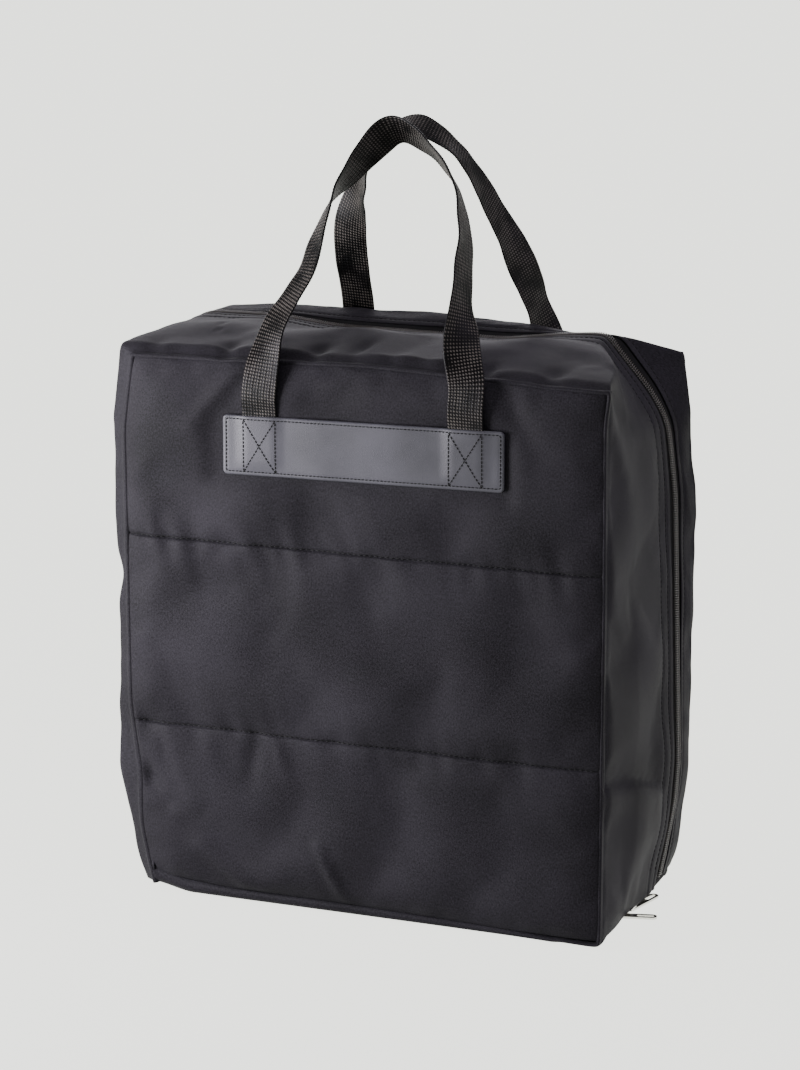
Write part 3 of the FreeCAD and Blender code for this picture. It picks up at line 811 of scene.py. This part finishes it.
def panel_relief(x, z, low, seed, folds):
    """Soft waves all over, puckers along the quilt lines and seams, and the folds that gravity makes."""
    to_side = SEAM_X - np.abs(x)
    inside = roll(to_side, 30) * roll(z - low, 26) * roll(SEAM_TOP - z, 26)
    out = inside * (0.9 + 1.1 * ease(-z, -170, -60)) * waves(x, z * 1.3, 85, seed)
    out = out * (0.45 + 0.55 * ease(-x, -110, 70))
    reach = 8 + 9 * (waves(x, x * 0, 60, seed + 3) > 0)
    amount = 0.35 + 0.95 * ease(-x, -20, 150)
    for line in QUILT_LINES:
        puckers = waves(x + 0.25 * (z - line), z * 0.15, 17, seed + 7)
        out = out + amount * np.exp(-np.abs(z - line) / reach) * puckers
    edge = np.exp(-np.minimum(to_side, np.minimum(z - low, SEAM_TOP - z)) / 11)
    out = out + 0.35 * edge * waves(x, z, 20, seed + 9)
    for start, end, width, amount in folds:
        out = out + 1.5 * fold(x, z, start, end, width, amount) * ease(to_side, 0, 10)
    return out * ease(to_side, 0.5, 5) * ease(z - low, 0.5, 5) * ease(SEAM_TOP - z, 0.5, 5)


def panel_grid(side, low, seed, folds):
    """A quilted panel's outer face, draped, and its rows on the quilt lines; side is -1 front, 1 back.

    Under the patch the drape is left out, so that the panel stays behind the leatherette.
    """
    x, z = np.meshgrid(panel_columns(4.6), panel_rows(low, 4.6))
    depth = panel_depth(x, z, low) + panel_relief(x, z, low, seed, folds)
    grid = settle_panel(np.stack([x, side * (SEAM_Y + depth), z], -1), side)
    line_rows = np.min(np.abs(z[:, :1] - np.array(QUILT_LINES)), axis=1) < 0.1
    pinned = np.zeros(x.shape, bool)
    pinned[line_rows] = True
    pinned[:3] = pinned[-3:] = True
    pinned[:, :3] = pinned[:, -3:] = True
    outward = np.array([0.0, side, 0.0])
    held = ease(PATCH_X + 16 - np.abs(x), 0, 14) * ease(PATCH_HALF + 16 - np.abs(z - PATCH_MIDDLE), 0, 14)
    held = held[..., None]
    settled = drape("panel", grid, pinned, outward, slack=0.005, pressure=0.12, cap=2.2, sink=2.2)
    grid = grid * held + settled * (1 - held)
    rows = [int(np.argmin(np.abs(z[:, 0] - line))) * 2 for line in QUILT_LINES]
    return refine(grid, 2), rows, outward


def add_panel(prefix, side, low, body, seed, folds):
    """A quilted panel with its stitches, its three foam pads and its lining."""
    grid, quilt_rows, outward = panel_grid(side, low, seed, folds)
    normals = grid_normals(grid, outward)
    panel = sheet_piece(prefix + "_quilted_panel", grid, CLOTH_THICK, SHELL, outward, body)
    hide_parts(prefix + "_panel")
    lines = [(grid[row, 6:-6], normals[row, 6:-6]) for row in quilt_rows]
    stitches(prefix + "_quilt_stitches", lines, 3.9, 0.33, body)
    coarse, coarse_normals = grid[::2, ::2], normals[::2, ::2]
    breaks = [2] + [row // 2 for row in quilt_rows] + [len(coarse) - 3]
    for height, (first, last) in zip(("bottom", "middle", "top"), zip(breaks, breaks[1:])):
        cut = slice(first + 1, last)
        outer = coarse[cut, 4:-4] - coarse_normals[cut, 4:-4] * 1.0
        inner = outer.copy()
        inner[..., 1] = side * PAD_BACK
        inner[..., 2] = np.minimum(outer[..., 2].mean(axis=1, keepdims=True), outer[..., 2])
        pad = block_object(f"{prefix}_pad_{height}", outer, inner, outward, FOAM, body)
        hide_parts(f"{prefix}_foam_{height}")
    x, z = np.meshgrid(np.linspace(-163, 163, 113), np.linspace(low + 6, 373, 127))
    crinkle = 0.5 * np.abs(waves(x, z, 26, seed + 21)) + 0.35 * np.abs(waves(x, z, 11, seed + 22))
    lining = np.stack([x, side * (LINING_FACE - crinkle), z], -1)
    foil = sheet_piece(prefix + "_panel_foil", lining, FILM_THICK, FOIL, -outward, body)
    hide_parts(prefix + "_lining")


# ---- walls -----------------------------------------------------------------------------------
def front_wall_rows():
    """Rows of (depth, depth of its section, inset), from the turned-in seam to the fold at the zip."""
    tuck = [(-76.6, -SEAM_Y, 4.4), (-79.6, -SEAM_Y, 3.2), (-81.0, -SEAM_Y, 1.9), (-81.3, -79.8, 0.6),
            (-80.3, -79.0, 0)]
    plain = [(y, y, 0) for y in (-78.6, -76.8, -74.6, -72.0, -69.0)]
    plain += [(y, y, 0) for y in np.linspace(-65.3, 17, 22)]
    plain += [(y, y, 0) for y in (19.5, 22, 24.7, 27.4, 30.0, 32.2, 34.3)]
    return tuck + plain + [(35.7, EDGE_FRONT, 0.15), (36.0, EDGE_FRONT, 0.75), (34.6, EDGE_FRONT, 1.3),
                           (32.0, EDGE_FRONT, 1.3)]


def lid_wall_rows():
    """The same for the lid's wall, from the fold at the zip to the turned-in seam."""
    start = [(56.0, EDGE_LID, 1.3), (53.4, EDGE_LID, 1.3), (52.0, EDGE_LID, 0.75), (52.3, EDGE_LID, 0.15)]
    plain = [(y, y, 0) for y in (53.8, 55.4, 57.0, 59.0, 62.0, 65.0, 68.0, 70.6, 73.0, 75.4, 77.4, 78.9)]
    return start + plain + [(80.3, 79.2, 0), (81.2, 79.8, 0.6), (80.9, SEAM_Y, 1.9), (79.6, SEAM_Y, 3.2),
                            (76.6, SEAM_Y, 4.4)]


def add_wall(prefix, rows, low, body):
    """A wall's outer fabric, draped between its seam, its zip edge and its topstitching."""
    grid, normals = wall_grid(rows, low)
    pinned = np.zeros(grid.shape[:2], bool)
    pinned[:6] = pinned[-6:] = True
    pinned[:, :2] = pinned[:, -2:] = True
    sewn = [i for i, (y, _, inset) in enumerate(rows)
            if inset == 0 and min(abs(y - row) for row in STITCH_ROWS) < 0.1]
    pinned[sewn] = True
    grid = refine(drape(prefix, grid, pinned, normals, slack=0.006, pressure=0.10, cap=2.0, sink=0.2), 2)
    normals = refine(normals, 2)
    wall = sheet_piece(prefix + "_wall", grid, CLOTH_THICK, SHELL, normals, body)
    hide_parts(prefix + "_gusset")
    facing = grid_normals(grid, normals)
    lines = [(grid[2 * i, 8:-8], facing[2 * i, 8:-8]) for i in sewn]
    stitches(prefix + "_wall_topstitch", lines, 3.6, 0.3, body)


def add_wall_inside(prefix, side, low, body, zip_end):
    """Foam, lining and seam binding inside a wall; the lining turns out over the foam's edge at the zip."""
    ys = np.linspace(side * 72.5, zip_end, 28 if side < 0 else 8)
    grid, normals = wall_grid([(y, y, 1.2) for y in ys], low)
    foam = block_object(prefix + "_wall_foam", grid, grid - normals * 4.8, normals, FOAM, body)
    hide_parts(prefix + "_gusset_foam")
    rows = [(y, y, 6.4) for y in np.linspace(side * 73.0, zip_end - side * 1.0, 30 if side < 0 else 10)]
    rows += [(zip_end - side * y, zip_end, inset) for y, inset in ((0.6, 5.6), (0.9, 4.0), (1.0, 2.2))]
    grid, normals = wall_grid(rows, low)
    x, y, z = grid[..., 0], grid[..., 1], grid[..., 2]
    crinkle = 0.7 * np.abs(waves(y * 1.2, x + z, 24, 31)) + 0.4 * np.abs(waves(y, x - z, 10, 32))
    crinkle[-3:] = 0
    grid = grid - normals * crinkle[..., None]
    lining = sheet_piece(prefix + "_wall_foil", grid, FILM_THICK, FOIL, -normals, body)
    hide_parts(prefix + "_gusset_lining")
    turned = ((74.0, 6.9), (75.5, 6.9), (77.0, 5.6), (77.6, 4.4), (77.6, 3.0))
    rows = [(side * y, side * y, inset) for y, inset in turned]
    grid, normals = wall_grid(rows, low + 1)
    binding = sheet_piece(prefix + "_seam_binding", grid, 0.4, BINDING, -normals, body)
    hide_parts(prefix + "_seam_tape")


# ---- zip -------------------------------------------------------------------------------------
COIL_PITCH, COIL_OFFSET = 1.67, 1.9


def tooth(mirror):
    """One turn of the zip's coil, from the tape over to the meeting line; mirror is -1 for the lid's row."""
    path = np.array([(-2.3, 0, -0.7), (-2.2, 0, 0.1), (-1.6, 0, 0.62), (-0.6, 0, 0.78), (0.5, 0, 0.7),
                     (1.4, 0, 0.3), (1.7, 0, -0.2)], float)
    path[:, 0] *= mirror
    path[:, 1] += np.linspace(-0.28, 0.28, len(path))
    return tube_shape(path, np.array([0.34, 0.36, 0.38, 0.38, 0.4, 0.42, 0.34]))


def wall_line(y, low):
    """A fine line of points with normals around the wall at one depth."""
    grid, normals = wall_grid([(y, y, 0.0)], low, relief=False)
    return refine_rows(grid.swapaxes(0, 1), 8)[:, 0], unit(refine_rows(normals.swapaxes(0, 1), 8)[:, 0])


def coil_row(name, side, line, normals, ends, sink, body, across_back=False):
    """One side's row of coil along a line with normals, kept clear of its ends and sunk below it.

    Across runs to the right of the line, or always to the bag's back.
    """
    reach = distances(line)
    places = np.arange(ends[0] + (side > 0) * COIL_PITCH / 2, reach[-1] - ends[1], COIL_PITCH)
    at = at_places(places, reach, line)
    up = unit(at_places(places, reach, normals))
    along = unit(np.gradient(at, axis=0))
    across = np.cross(along, up)
    if across_back:
        across = across * np.sign(across[:, 1:2])
    shape, faces = tooth(-side)
    origins = at + across * (side * COIL_OFFSET) - up * sink
    return instances(name, shape, faces, origins, across, along, up, COIL, body)


def add_zip(prefix, side, body):
    """One side's tape and coil around the opening; side is -1 for the front, 1 for the lid."""
    ys = ZIP_Y + side * np.linspace(0.9, 12.0, 12)
    sag = 1.3 + 0.3 * hill(np.abs(ys - ZIP_Y), 0, 5)
    grid, normals = wall_grid([(y, y, s) for y, s in zip(ys, sag)], LID_BOTTOM, relief=False)
    tape = sheet_piece(f"{prefix}_zip_tape_cloth", grid, 0.45, TAPE, normals, body)
    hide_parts(prefix + "_zip_tape")
    line, normals = wall_line(ZIP_Y, LID_BOTTOM)
    coil = coil_row(f"{prefix}_zip_coil", side, line, normals, (1.5, 1), 0.75, body, across_back=True)
    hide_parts(prefix + "_zip_teeth")


def ribbon(line, half, normal, columns):
    """A grid across a line: each row spans plus and minus half sideways."""
    side = unit(np.cross(unit(np.gradient(line, axis=0)), np.broadcast_to(normal, line.shape)))
    across = np.linspace(-1, 1, columns)
    return line[:, None, :] + side[:, None, :] * (across[None, :, None] * half)


def tail_line(count, z):
    """The zip's tail under the right corner: along the side wall, round the bend and in along the front."""
    x0, y1 = span("zip_tail_tape", 0)[1] - 5.0, span("zip_tail_tape", 1)[0] + 5.0
    start, end, radius = span("zip_tail_tape", 1)[1], span("zip_tail_tape", 0)[0], 8.0
    turn = np.linspace(0, -math.pi / 2, 20)[1:-1]
    bend = [(x0 - radius + radius * math.cos(a), y1 + radius + radius * math.sin(a)) for a in turn]
    flat = np.array([(x0, start), (x0, y1 + radius)] + bend + [(x0 - radius, y1), (end, y1)])
    return np.concatenate([resample(flat, count), np.full((count, 1), z)], 1)


def add_tail():
    """The zip's tail: its tape, both rows of coil and the tack that holds its end."""
    grid = ribbon(tail_line(90, 7.1), 4.9, DOWN, 9)
    grid[..., 2] += 0.25 * waves(grid[..., 0], grid[..., 1], 14, 3)
    tape = sheet_piece("zip_tail_cloth", grid, 0.4, TAPE, DOWN, "shell")
    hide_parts("zip_tail_tape")
    line = tail_line(1200, 6.6)
    normals = np.broadcast_to(DOWN, line.shape)
    inner, outer = (coil_row(f"zip_tail_coil_{name}", side, line, normals, (3, 3), 0, "shell")
                    for name, side in (("inner", -1), ("outer", 1)))
    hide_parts("zip_tail_teeth")
    low, high = span("zip_tail_tack", 1)
    x, y = np.meshgrid(np.linspace(160.5, 170.5, 12), np.linspace(low, high, 8))
    grid = np.stack([x, y, 7.3 + 0 * x - 0.3 * np.abs(np.sin(y * 2.2))], -1)
    tack = block_object("zip_tail_bartack", grid, grid + (0, 0, 1.9), DOWN, THREAD, "shell")
    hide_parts("zip_tail_tack")


# ---- underside -------------------------------------------------------------------------------
def base_height(x, y):
    """Height of the bag's underside: flat under the stiffened pad, raised towards its ends."""
    tail = ease(y, -34, -29) * ease(-y, -68, -61)
    right = ease(x, 137, 146) * (0.8 + 2.2 * ease(y, -72, -54) + 6.8 * tail)
    left = ease(-x, 138, 172) * 5.0
    return 0.25 + right + left


def add_base():
    """The underside's fabric, rolled up to the front seam and to the walls' feet."""
    ys = np.concatenate([[-76.5, -78.9, -79.9, -79.6, -78.4, -76.4, -74.0, -71.5], np.linspace(-68, 66, 44),
                         [69, 72, 74]])
    lifts = np.concatenate([[8.2, 6.6, 5.0, 3.4, 2.0, 1.0, 0.45, 0.15], np.zeros(44), [0.3, 1.2, 3.0]])
    lifts = lifts[:, None]
    xs = np.concatenate([[-171.6, -172.4, -171.6, -169], np.linspace(-165, 165, 112),
                         [169, 171.6, 172.4, 171.6]])
    side_lifts = np.concatenate([[7.0, 4.2, 1.6, 0.4], np.zeros(112), [0.4, 1.6, 4.2, 7.0]])
    x, y = np.meshgrid(xs, ys)
    rolled = (lifts + side_lifts) * (1 - 0.45 * ease(x, 100, 172) * ease(-y, 60, 76))
    z = np.maximum(base_height(x, y), 0) + rolled
    seam_x, seam_y = 138, 70.5
    seam = np.minimum(np.abs(np.abs(x) - seam_x), np.abs(np.abs(y) - seam_y))
    z = z + 0.5 * np.exp(-seam / 1.5) * (np.abs(x) < seam_x + 3) * (np.abs(y) < seam_y + 2.5)
    left, right = (np.array([along_depth(table, d, np.array([8.0]))[0] for d in ys])[:, None]
                   for table in (LEFT, RIGHT))
    x = x + ease(-x, 60, 172.4) * (173.2 - left) - ease(x, 60, 172.4) * (173.2 - right)
    y = y - 2.2 * hill(y, -79.5, 2.0)
    z = z + np.clip(lifts - 1.2, 0, 8) / 7 * (through(x, FOOT_LINE) - SEAM_BOTTOM)
    grid = refine(np.stack([x, y, z], -1), 2)
    grid[..., 2] = np.maximum(grid[..., 2], 0.1)
    skin = sheet_piece("base_skin", grid, CLOTH_THICK, SHELL, DOWN, "shell")
    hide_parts("base_cover", "bottom_panel")
    corners = [(-135, -68), (135, -68), (135, 68), (-135, 68), (-135, -68)]
    line = resample(np.array([(a, b, 0.35) for a, b in corners], float), 500)
    lines = [(line, np.broadcast_to(DOWN, line.shape))]
    stitches("base_stitches", lines, 3.8, 0.3, "shell", lift=-0.1)
    half_x, half_y = 136, 69
    x, y = np.meshgrid(np.linspace(-half_x, half_x, 60), np.linspace(-half_y, half_y, 32))
    edge = roll(np.minimum(half_x - np.abs(x), half_y - np.abs(y)), 3)
    lower = np.stack([x, y, 3.4 - 2.2 * edge], -1)
    upper = np.stack([x, y, 3.6 + 2.7 * edge], -1)
    foam = block_object("base_pad", lower, upper, DOWN, FOAM, "shell")
    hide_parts("base_foam")
    x, y = np.meshgrid(np.linspace(-165, 165, 110), np.linspace(-73, 73, 50))
    crinkle = 0.5 * np.abs(waves(x, y, 30, 61)) + 0.3 * np.abs(waves(x, y, 12, 62))
    foil = sheet_piece("bottom_foil", np.stack([x, y, 11.0 + crinkle], -1), FILM_THICK, FOIL, -DOWN, "shell")
    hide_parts("bottom_lining")


def add_heel():
    """The binding along the foot of the opening, and the fold of fabric that the lid turns on."""
    path = [(-172.6, 37.0), (-172.6, 55.0), (-172.0, 70.0), (-170.5, 76.6), (-166, 79.2), (-120, 80.0),
            (0, 80.2), (120, 80.0), (164, 79.2), (168.6, 76.6), (170.4, 70.0), (171.2, 55.0), (171.4, 37.0)]
    line = curve_through([(a, b, 0) for a, b in path], 360, 3)
    tangent = unit(np.gradient(line, axis=0))
    outward = np.stack([-tangent[:, 1], tangent[:, 0], 0 * tangent[:, 0]], 1)
    heights = np.array([6.6, 6.0, 6.1, 7.2, 8.8, 10.4, 11.4, 11.7, 11.3])
    outs = np.array([-2.2, -0.9, 0.1, 0.7, 0.9, 0.7, 0.1, -0.9, -2.2])
    grid = line[None] + outward[None] * (outs[:, None, None] - 0.6)
    grid[..., 2] = heights[:, None] + 0.15 * waves(line[:, 0], line[:, 1], 25, 8)[None]
    heel = sheet_piece("heel_binding", grid, 0.7, BINDING, np.broadcast_to(outward, grid.shape), "shell")
    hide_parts("base_binding")
    x, share = np.meshgrid(np.linspace(-168, 168, 170), np.linspace(0, 1, 9))
    depth = 78.3 - 0.2 * np.sin(math.pi * share)
    strip = fold_strip(np.stack([x, depth, 8.0 + 8.5 * share], -1))


def unridden(piece):
    """Takes a piece off the body it was made for, so that it rides on no body."""
    piece.parent = None
    del piece["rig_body"]
    return piece


def fold_strip(grid):
    """The fabric where the lid folds, made on the shell and then taken off it, so that it rides on no body.
    """
    normals = grid_normals(grid, np.array([0.0, 1.0, 0.0]))
    strip = block_object("lid_fold_strip", grid, grid - normals * CLOTH_THICK, normals, SHELL, "shell")
    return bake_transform(unridden(strip))


# ---- patches and handles ---------------------------------------------------------------------
def add_patch(prefix, side, body, tilt):
    """The leatherette patch, raised over the strap ends, with its edge stitching and two crossed boxes."""
    x, z = np.meshgrid(np.linspace(-PATCH_X, PATCH_X, 170), np.linspace(PATCH_LOW, PATCH_HIGH, 44))
    up = z - PATCH_MIDDLE
    radius = 3.2
    a = np.clip((np.abs(x) - PATCH_X + radius) / radius, 0, 1)
    b = np.clip((np.abs(up) - PATCH_HALF + radius) / radius, 0, 1)
    corner = (a > 0) & (b > 0)
    round_x = np.sign(x) * (PATCH_X - radius + radius * a * np.sqrt(1 - b * b / 2))
    round_z = PATCH_MIDDLE + np.sign(up) * (PATCH_HALF - radius + radius * b * np.sqrt(1 - a * a / 2))
    place_x, place_z = np.where(corner, round_x, x), np.where(corner, round_z, z)
    place_z = place_z + tilt * place_x
    edge = np.minimum(PATCH_X - np.abs(x), PATCH_HALF - np.abs(up))
    over = ease(STRAP_WIDTH / 2 + 7 - np.abs(np.abs(x) - STRAP_X), 0, 12) * ease(z, 312, 322)
    lift = 0.9 + 0.35 * roll(edge, 1.2) + 1.0 * over - 0.2 * hill(edge, 2.4, 0.9)
    lift = lift + 0.12 * waves(x, z, 40, 71) + 0.25 * hill(x, 0, 60) * hill(z, PATCH_MIDDLE, 14)
    crown = SEAM_Y + CROWN
    outer = np.stack([place_x, side * (crown + 0.35) + side * lift, place_z], -1)
    inner = np.stack([place_x, np.full_like(x, side * (crown - 0.4)), place_z], -1)
    outward = np.array([0.0, side, 0.0])
    leather = block_object(prefix + "_leather_patch", outer, inner, outward, LEATHER, body)
    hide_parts(prefix + "_patch")

    def on_patch(*corners):
        """A line of points on the patch's face through places (across, up), with its normals."""
        px, pz = resample(np.array(corners, float), 400).T
        column = np.interp(px, x[0], np.arange(x.shape[1]))
        row = np.interp(pz, z[:, 0], np.arange(len(z)))
        i, j = np.clip(row.astype(int), 0, len(z) - 2), np.clip(column.astype(int), 0, x.shape[1] - 2)
        f, g = (row - i)[:, None], (column - j)[:, None]
        points = ((outer[i, j] * (1 - g) + outer[i, j + 1] * g) * (1 - f)
                  + (outer[i + 1, j] * (1 - g) + outer[i + 1, j + 1] * g) * f)
        return points, np.broadcast_to(outward, points.shape)

    inset, cut = 2.4, 1.0
    wide, low, high = PATCH_X - inset, PATCH_LOW + inset, PATCH_HIGH - inset
    lines = [on_patch((-wide + cut, low), (wide - cut, low), (wide, low + cut), (wide, high - cut),
                      (wide - cut, high), (cut - wide, high), (-wide, high - cut), (-wide, low + cut),
                      (-wide + cut, low))]
    half = STRAP_WIDTH / 2 - 0.8
    for strap in (-STRAP_X, STRAP_X):
        left, right = strap - half, strap + half
        lines += [on_patch((left, low), (left, high)), on_patch((right, low), (right, high)),
                  on_patch((left, low), (right, high)), on_patch((left, high), (right, low))]
    stitches(prefix + "_patch_stitches", lines, 2.7, 0.33, body, lift=0.12)


# The two loops' routes, foot to foot, as (x, z); they run near their stand-ins' own lines, not on them.
FRONT_ROUTE = [(-74, PIVOT_Z), (-73.5, 366), (-71, 384), (-69, 402), (-64, 418), (-56, 432), (-48, 450),
               (-43, 480), (-37.5, 498), (-29, 510), (-21, 522), (-12, 534), (-1, LOOP_TOP), (15, 534),
               (34, 521), (49.5, 503), (60, 475), (64, 440), (68.5, 408), (75, 384), (74.5, 366),
               (74, PIVOT_Z)]
BACK_ROUTE = [(-74, PIVOT_Z), (-74, 366), (-73, 384), (-71, 402), (-70, 440), (-65, 466), (-49, 498),
              (-36, 520), (-20, 533), (-4, LOOP_TOP), (12, 534), (29, 516), (40, 490), (52, 458), (61, 428),
              (67, 402), (71, 384), (73.5, 366), (74, PIVOT_Z)]
# How the straps twist about their own lines, as (share of the length, degrees).
FRONT_TURNS = ((0, 0), (0.13, 0), (0.15, -24), (0.20, -31), (0.26, -41), (0.32, -46), (0.36, -62),
               (0.39, -88), (0.43, -104), (0.48, -125), (0.52, -104), (0.56, -97), (0.60, -99), (0.65, -94),
               (0.68, -86), (0.72, -80), (0.77, -82), (0.785, -72), (0.80, -57), (0.82, -25), (0.845, -18),
               (0.88, 0), (1, 0))
BACK_TURNS = ((0, 0), (0.16, 6), (0.24, -2), (0.28, 6), (0.31, 22), (0.33, 40), (0.345, 60), (0.38, 74),
              (0.45, 85), (0.52, 98), (0.59, 112), (0.62, 95), (0.66, 91), (0.70, 84), (0.74, 70), (0.77, 52),
              (0.80, 72), (0.83, 80), (0.86, 62), (0.95, 0), (1, 0))


def handle_depth(z):
    """How far from the middle plane a handle's centre line lies at height z."""
    start = 378
    rise = np.maximum(0.0, np.asarray(z, float) - start) / (HANDLE_TOP - start)
    return PIVOT_Y - (PIVOT_Y - 12.6) * rise ** 1.25


def strap_line(route, side, samples):
    """The strap's centre line from under one end of the patch, round the loop and under the other end."""
    loop = [(x, side * float(handle_depth(z)), z) for x, z in route]
    crown = SEAM_Y + CROWN
    under_patch = ((0.6, 322), (0.6, 334), (0.7, 345), (1.2, 354))
    first, last = ([(x, side * (crown + out), z) for out, z in under_patch]
                   for x in (route[0][0], route[-1][0]))
    return curve_through(first + loop[1:-1] + last[::-1], samples, 6)


def strap_frame(side, route, turns, samples):
    """Points along the strap with the directions of its width and of its face."""
    line = strap_line(route, side, samples)
    share = np.linspace(0, 1, samples)
    along = unit(np.gradient(line, axis=0))
    z = line[:, 2]
    slope = handle_depth(z - 0.5) - handle_depth(z + 0.5)
    normal = unit(np.stack([0 * z, np.full_like(z, side), slope], 1))
    across = unit(np.cross(normal, along)) * (-side)
    turn = np.radians(smooth_rows(through(share, turns)[:, None], samples / 60)[:, 0])
    width = across * np.cos(turn)[:, None] + normal * np.sin(turn)[:, None]
    width = unit(width - along * np.sum(width * along, 1, keepdims=True))
    width = unit(smooth_rows(width, samples / 120))
    face = unit(np.cross(width, along))
    return line, width, face * np.sign(np.sum(face[0] * normal[0]))


def add_handle(prefix, side, moving, route, turns, seed):
    """One webbing handle as a woven strap with its feet under its patch, made on its own body and then taken
    off it, so that it rides on no body.
    """
    samples = 1150
    line, width, face = strap_frame(side, route, turns, samples)
    length = np.linalg.norm(np.diff(line, axis=0), axis=1).sum()
    a, r = np.meshgrid(np.linspace(0, WEAVE_COLUMNS, WEAVE_COLUMNS * 3 + 1),
                       np.linspace(0, length / WEAVE_ROW, samples))
    place = np.linspace(-1, 1, a.shape[1])[None, :]
    along = r[:, :1] * WEAVE_ROW
    cell = np.floor(a - 1e-6).astype(int) % 2
    bump = (np.abs(np.sin(math.pi * a)) * np.abs(np.sin(math.pi * r))) ** 0.6
    rim = np.clip((1 - np.abs(place)) / 0.06, 0, 1) ** 0.5
    cupped = 0.35 * place ** 2 * waves(along, 0 * along, 34, seed)
    sway = cupped + 0.3 * place * waves(along, 0 * along, 26, seed + 1)
    half = (STRAP_THICK / 2 - 0.25) * (0.45 + 0.55 * rim)
    grids = []
    for way, raised in ((1, 0), (-1, 1)):
        out = 0.36 * bump * np.where(cell == raised, 1.0, 0.75) * rim + half
        grids.append(line[:, None] + width[:, None] * (place * STRAP_WIDTH / 2)[..., None]
                     + face[:, None] * (way * out + sway)[..., None])
    facing = np.broadcast_to(face[:, None], grids[0].shape)
    strap = unridden(block_object(prefix + "_handle_strap", *grids, facing, WEBBING, moving))
    set_strap_uv(strap, a, r)
    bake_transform(strap)
    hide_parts(prefix + "_strap_tails", "handle_" + prefix)


def set_strap_uv(strap, a, r):
    """Puts the weave's own cells in the strap's UV map: one column and one row to a cell."""
    uv = np.stack([a * STRAP_WIDTH / WEAVE_COLUMNS, r * WEAVE_ROW], -1).reshape(-1, 2) * MM
    corners = np.zeros(len(strap.data.loops), np.int32)
    strap.data.loops.foreach_get("vertex_index", corners)
    strap.data.uv_layers["cloth"].data.foreach_set("uv", np.concatenate([uv, uv])[corners].ravel())


# ---- pieces that keep their CAD shape --------------------------------------------------------
def finish_cad(name, material, bevel):
    """Gives a CAD node its material and a small bevel, in millimetres."""
    part = NODES[name]
    part.data.materials.clear()
    part.data.materials.append(material)
    edge = part.modifiers.new("edge", "BEVEL")
    edge.width, edge.segments, edge.limit_method = bevel * MM, 3, "ANGLE"
    edge.angle_limit = math.radians(35)


# ---- putting it together ---------------------------------------------------------------------
add_camera()
add_surroundings()
add_panel("front", -1, SEAM_BOTTOM, "shell", seed=101, folds=PANEL_FOLDS)
add_panel("back", 1, LID_BOTTOM, "lid", seed=202, folds=BACK_FOLDS)
add_wall("front", front_wall_rows(), SEAM_BOTTOM, "shell")
add_wall("back", lid_wall_rows(), LID_BOTTOM, "lid")
add_wall_inside("front", -1, low=11.5, body="shell", zip_end=30.5)
add_wall_inside("back", 1, low=LID_BOTTOM + 0.5, body="lid", zip_end=57.5)
add_zip("front", -1, "shell")
add_zip("back", 1, "lid")
add_tail()
add_base()
add_heel()
add_patch("front", -1, "shell", tilt=0.015)
add_patch("back", 1, "lid", tilt=0.0)
add_handle("front", -1, "handle_front", FRONT_ROUTE, FRONT_TURNS, seed=81)
add_handle("back", 1, "handle_back", BACK_ROUTE, BACK_TURNS, seed=91)
finish_cad("base_board", BOARD, 0.4)
finish_cad("zip_end_stop", NICKEL, 0.3)
for metal in ("zip_slider_side", "zip_slider_end", "zip_pull_side", "zip_pull_end"):
    finish_cad(metal, NICKEL, 0.25)
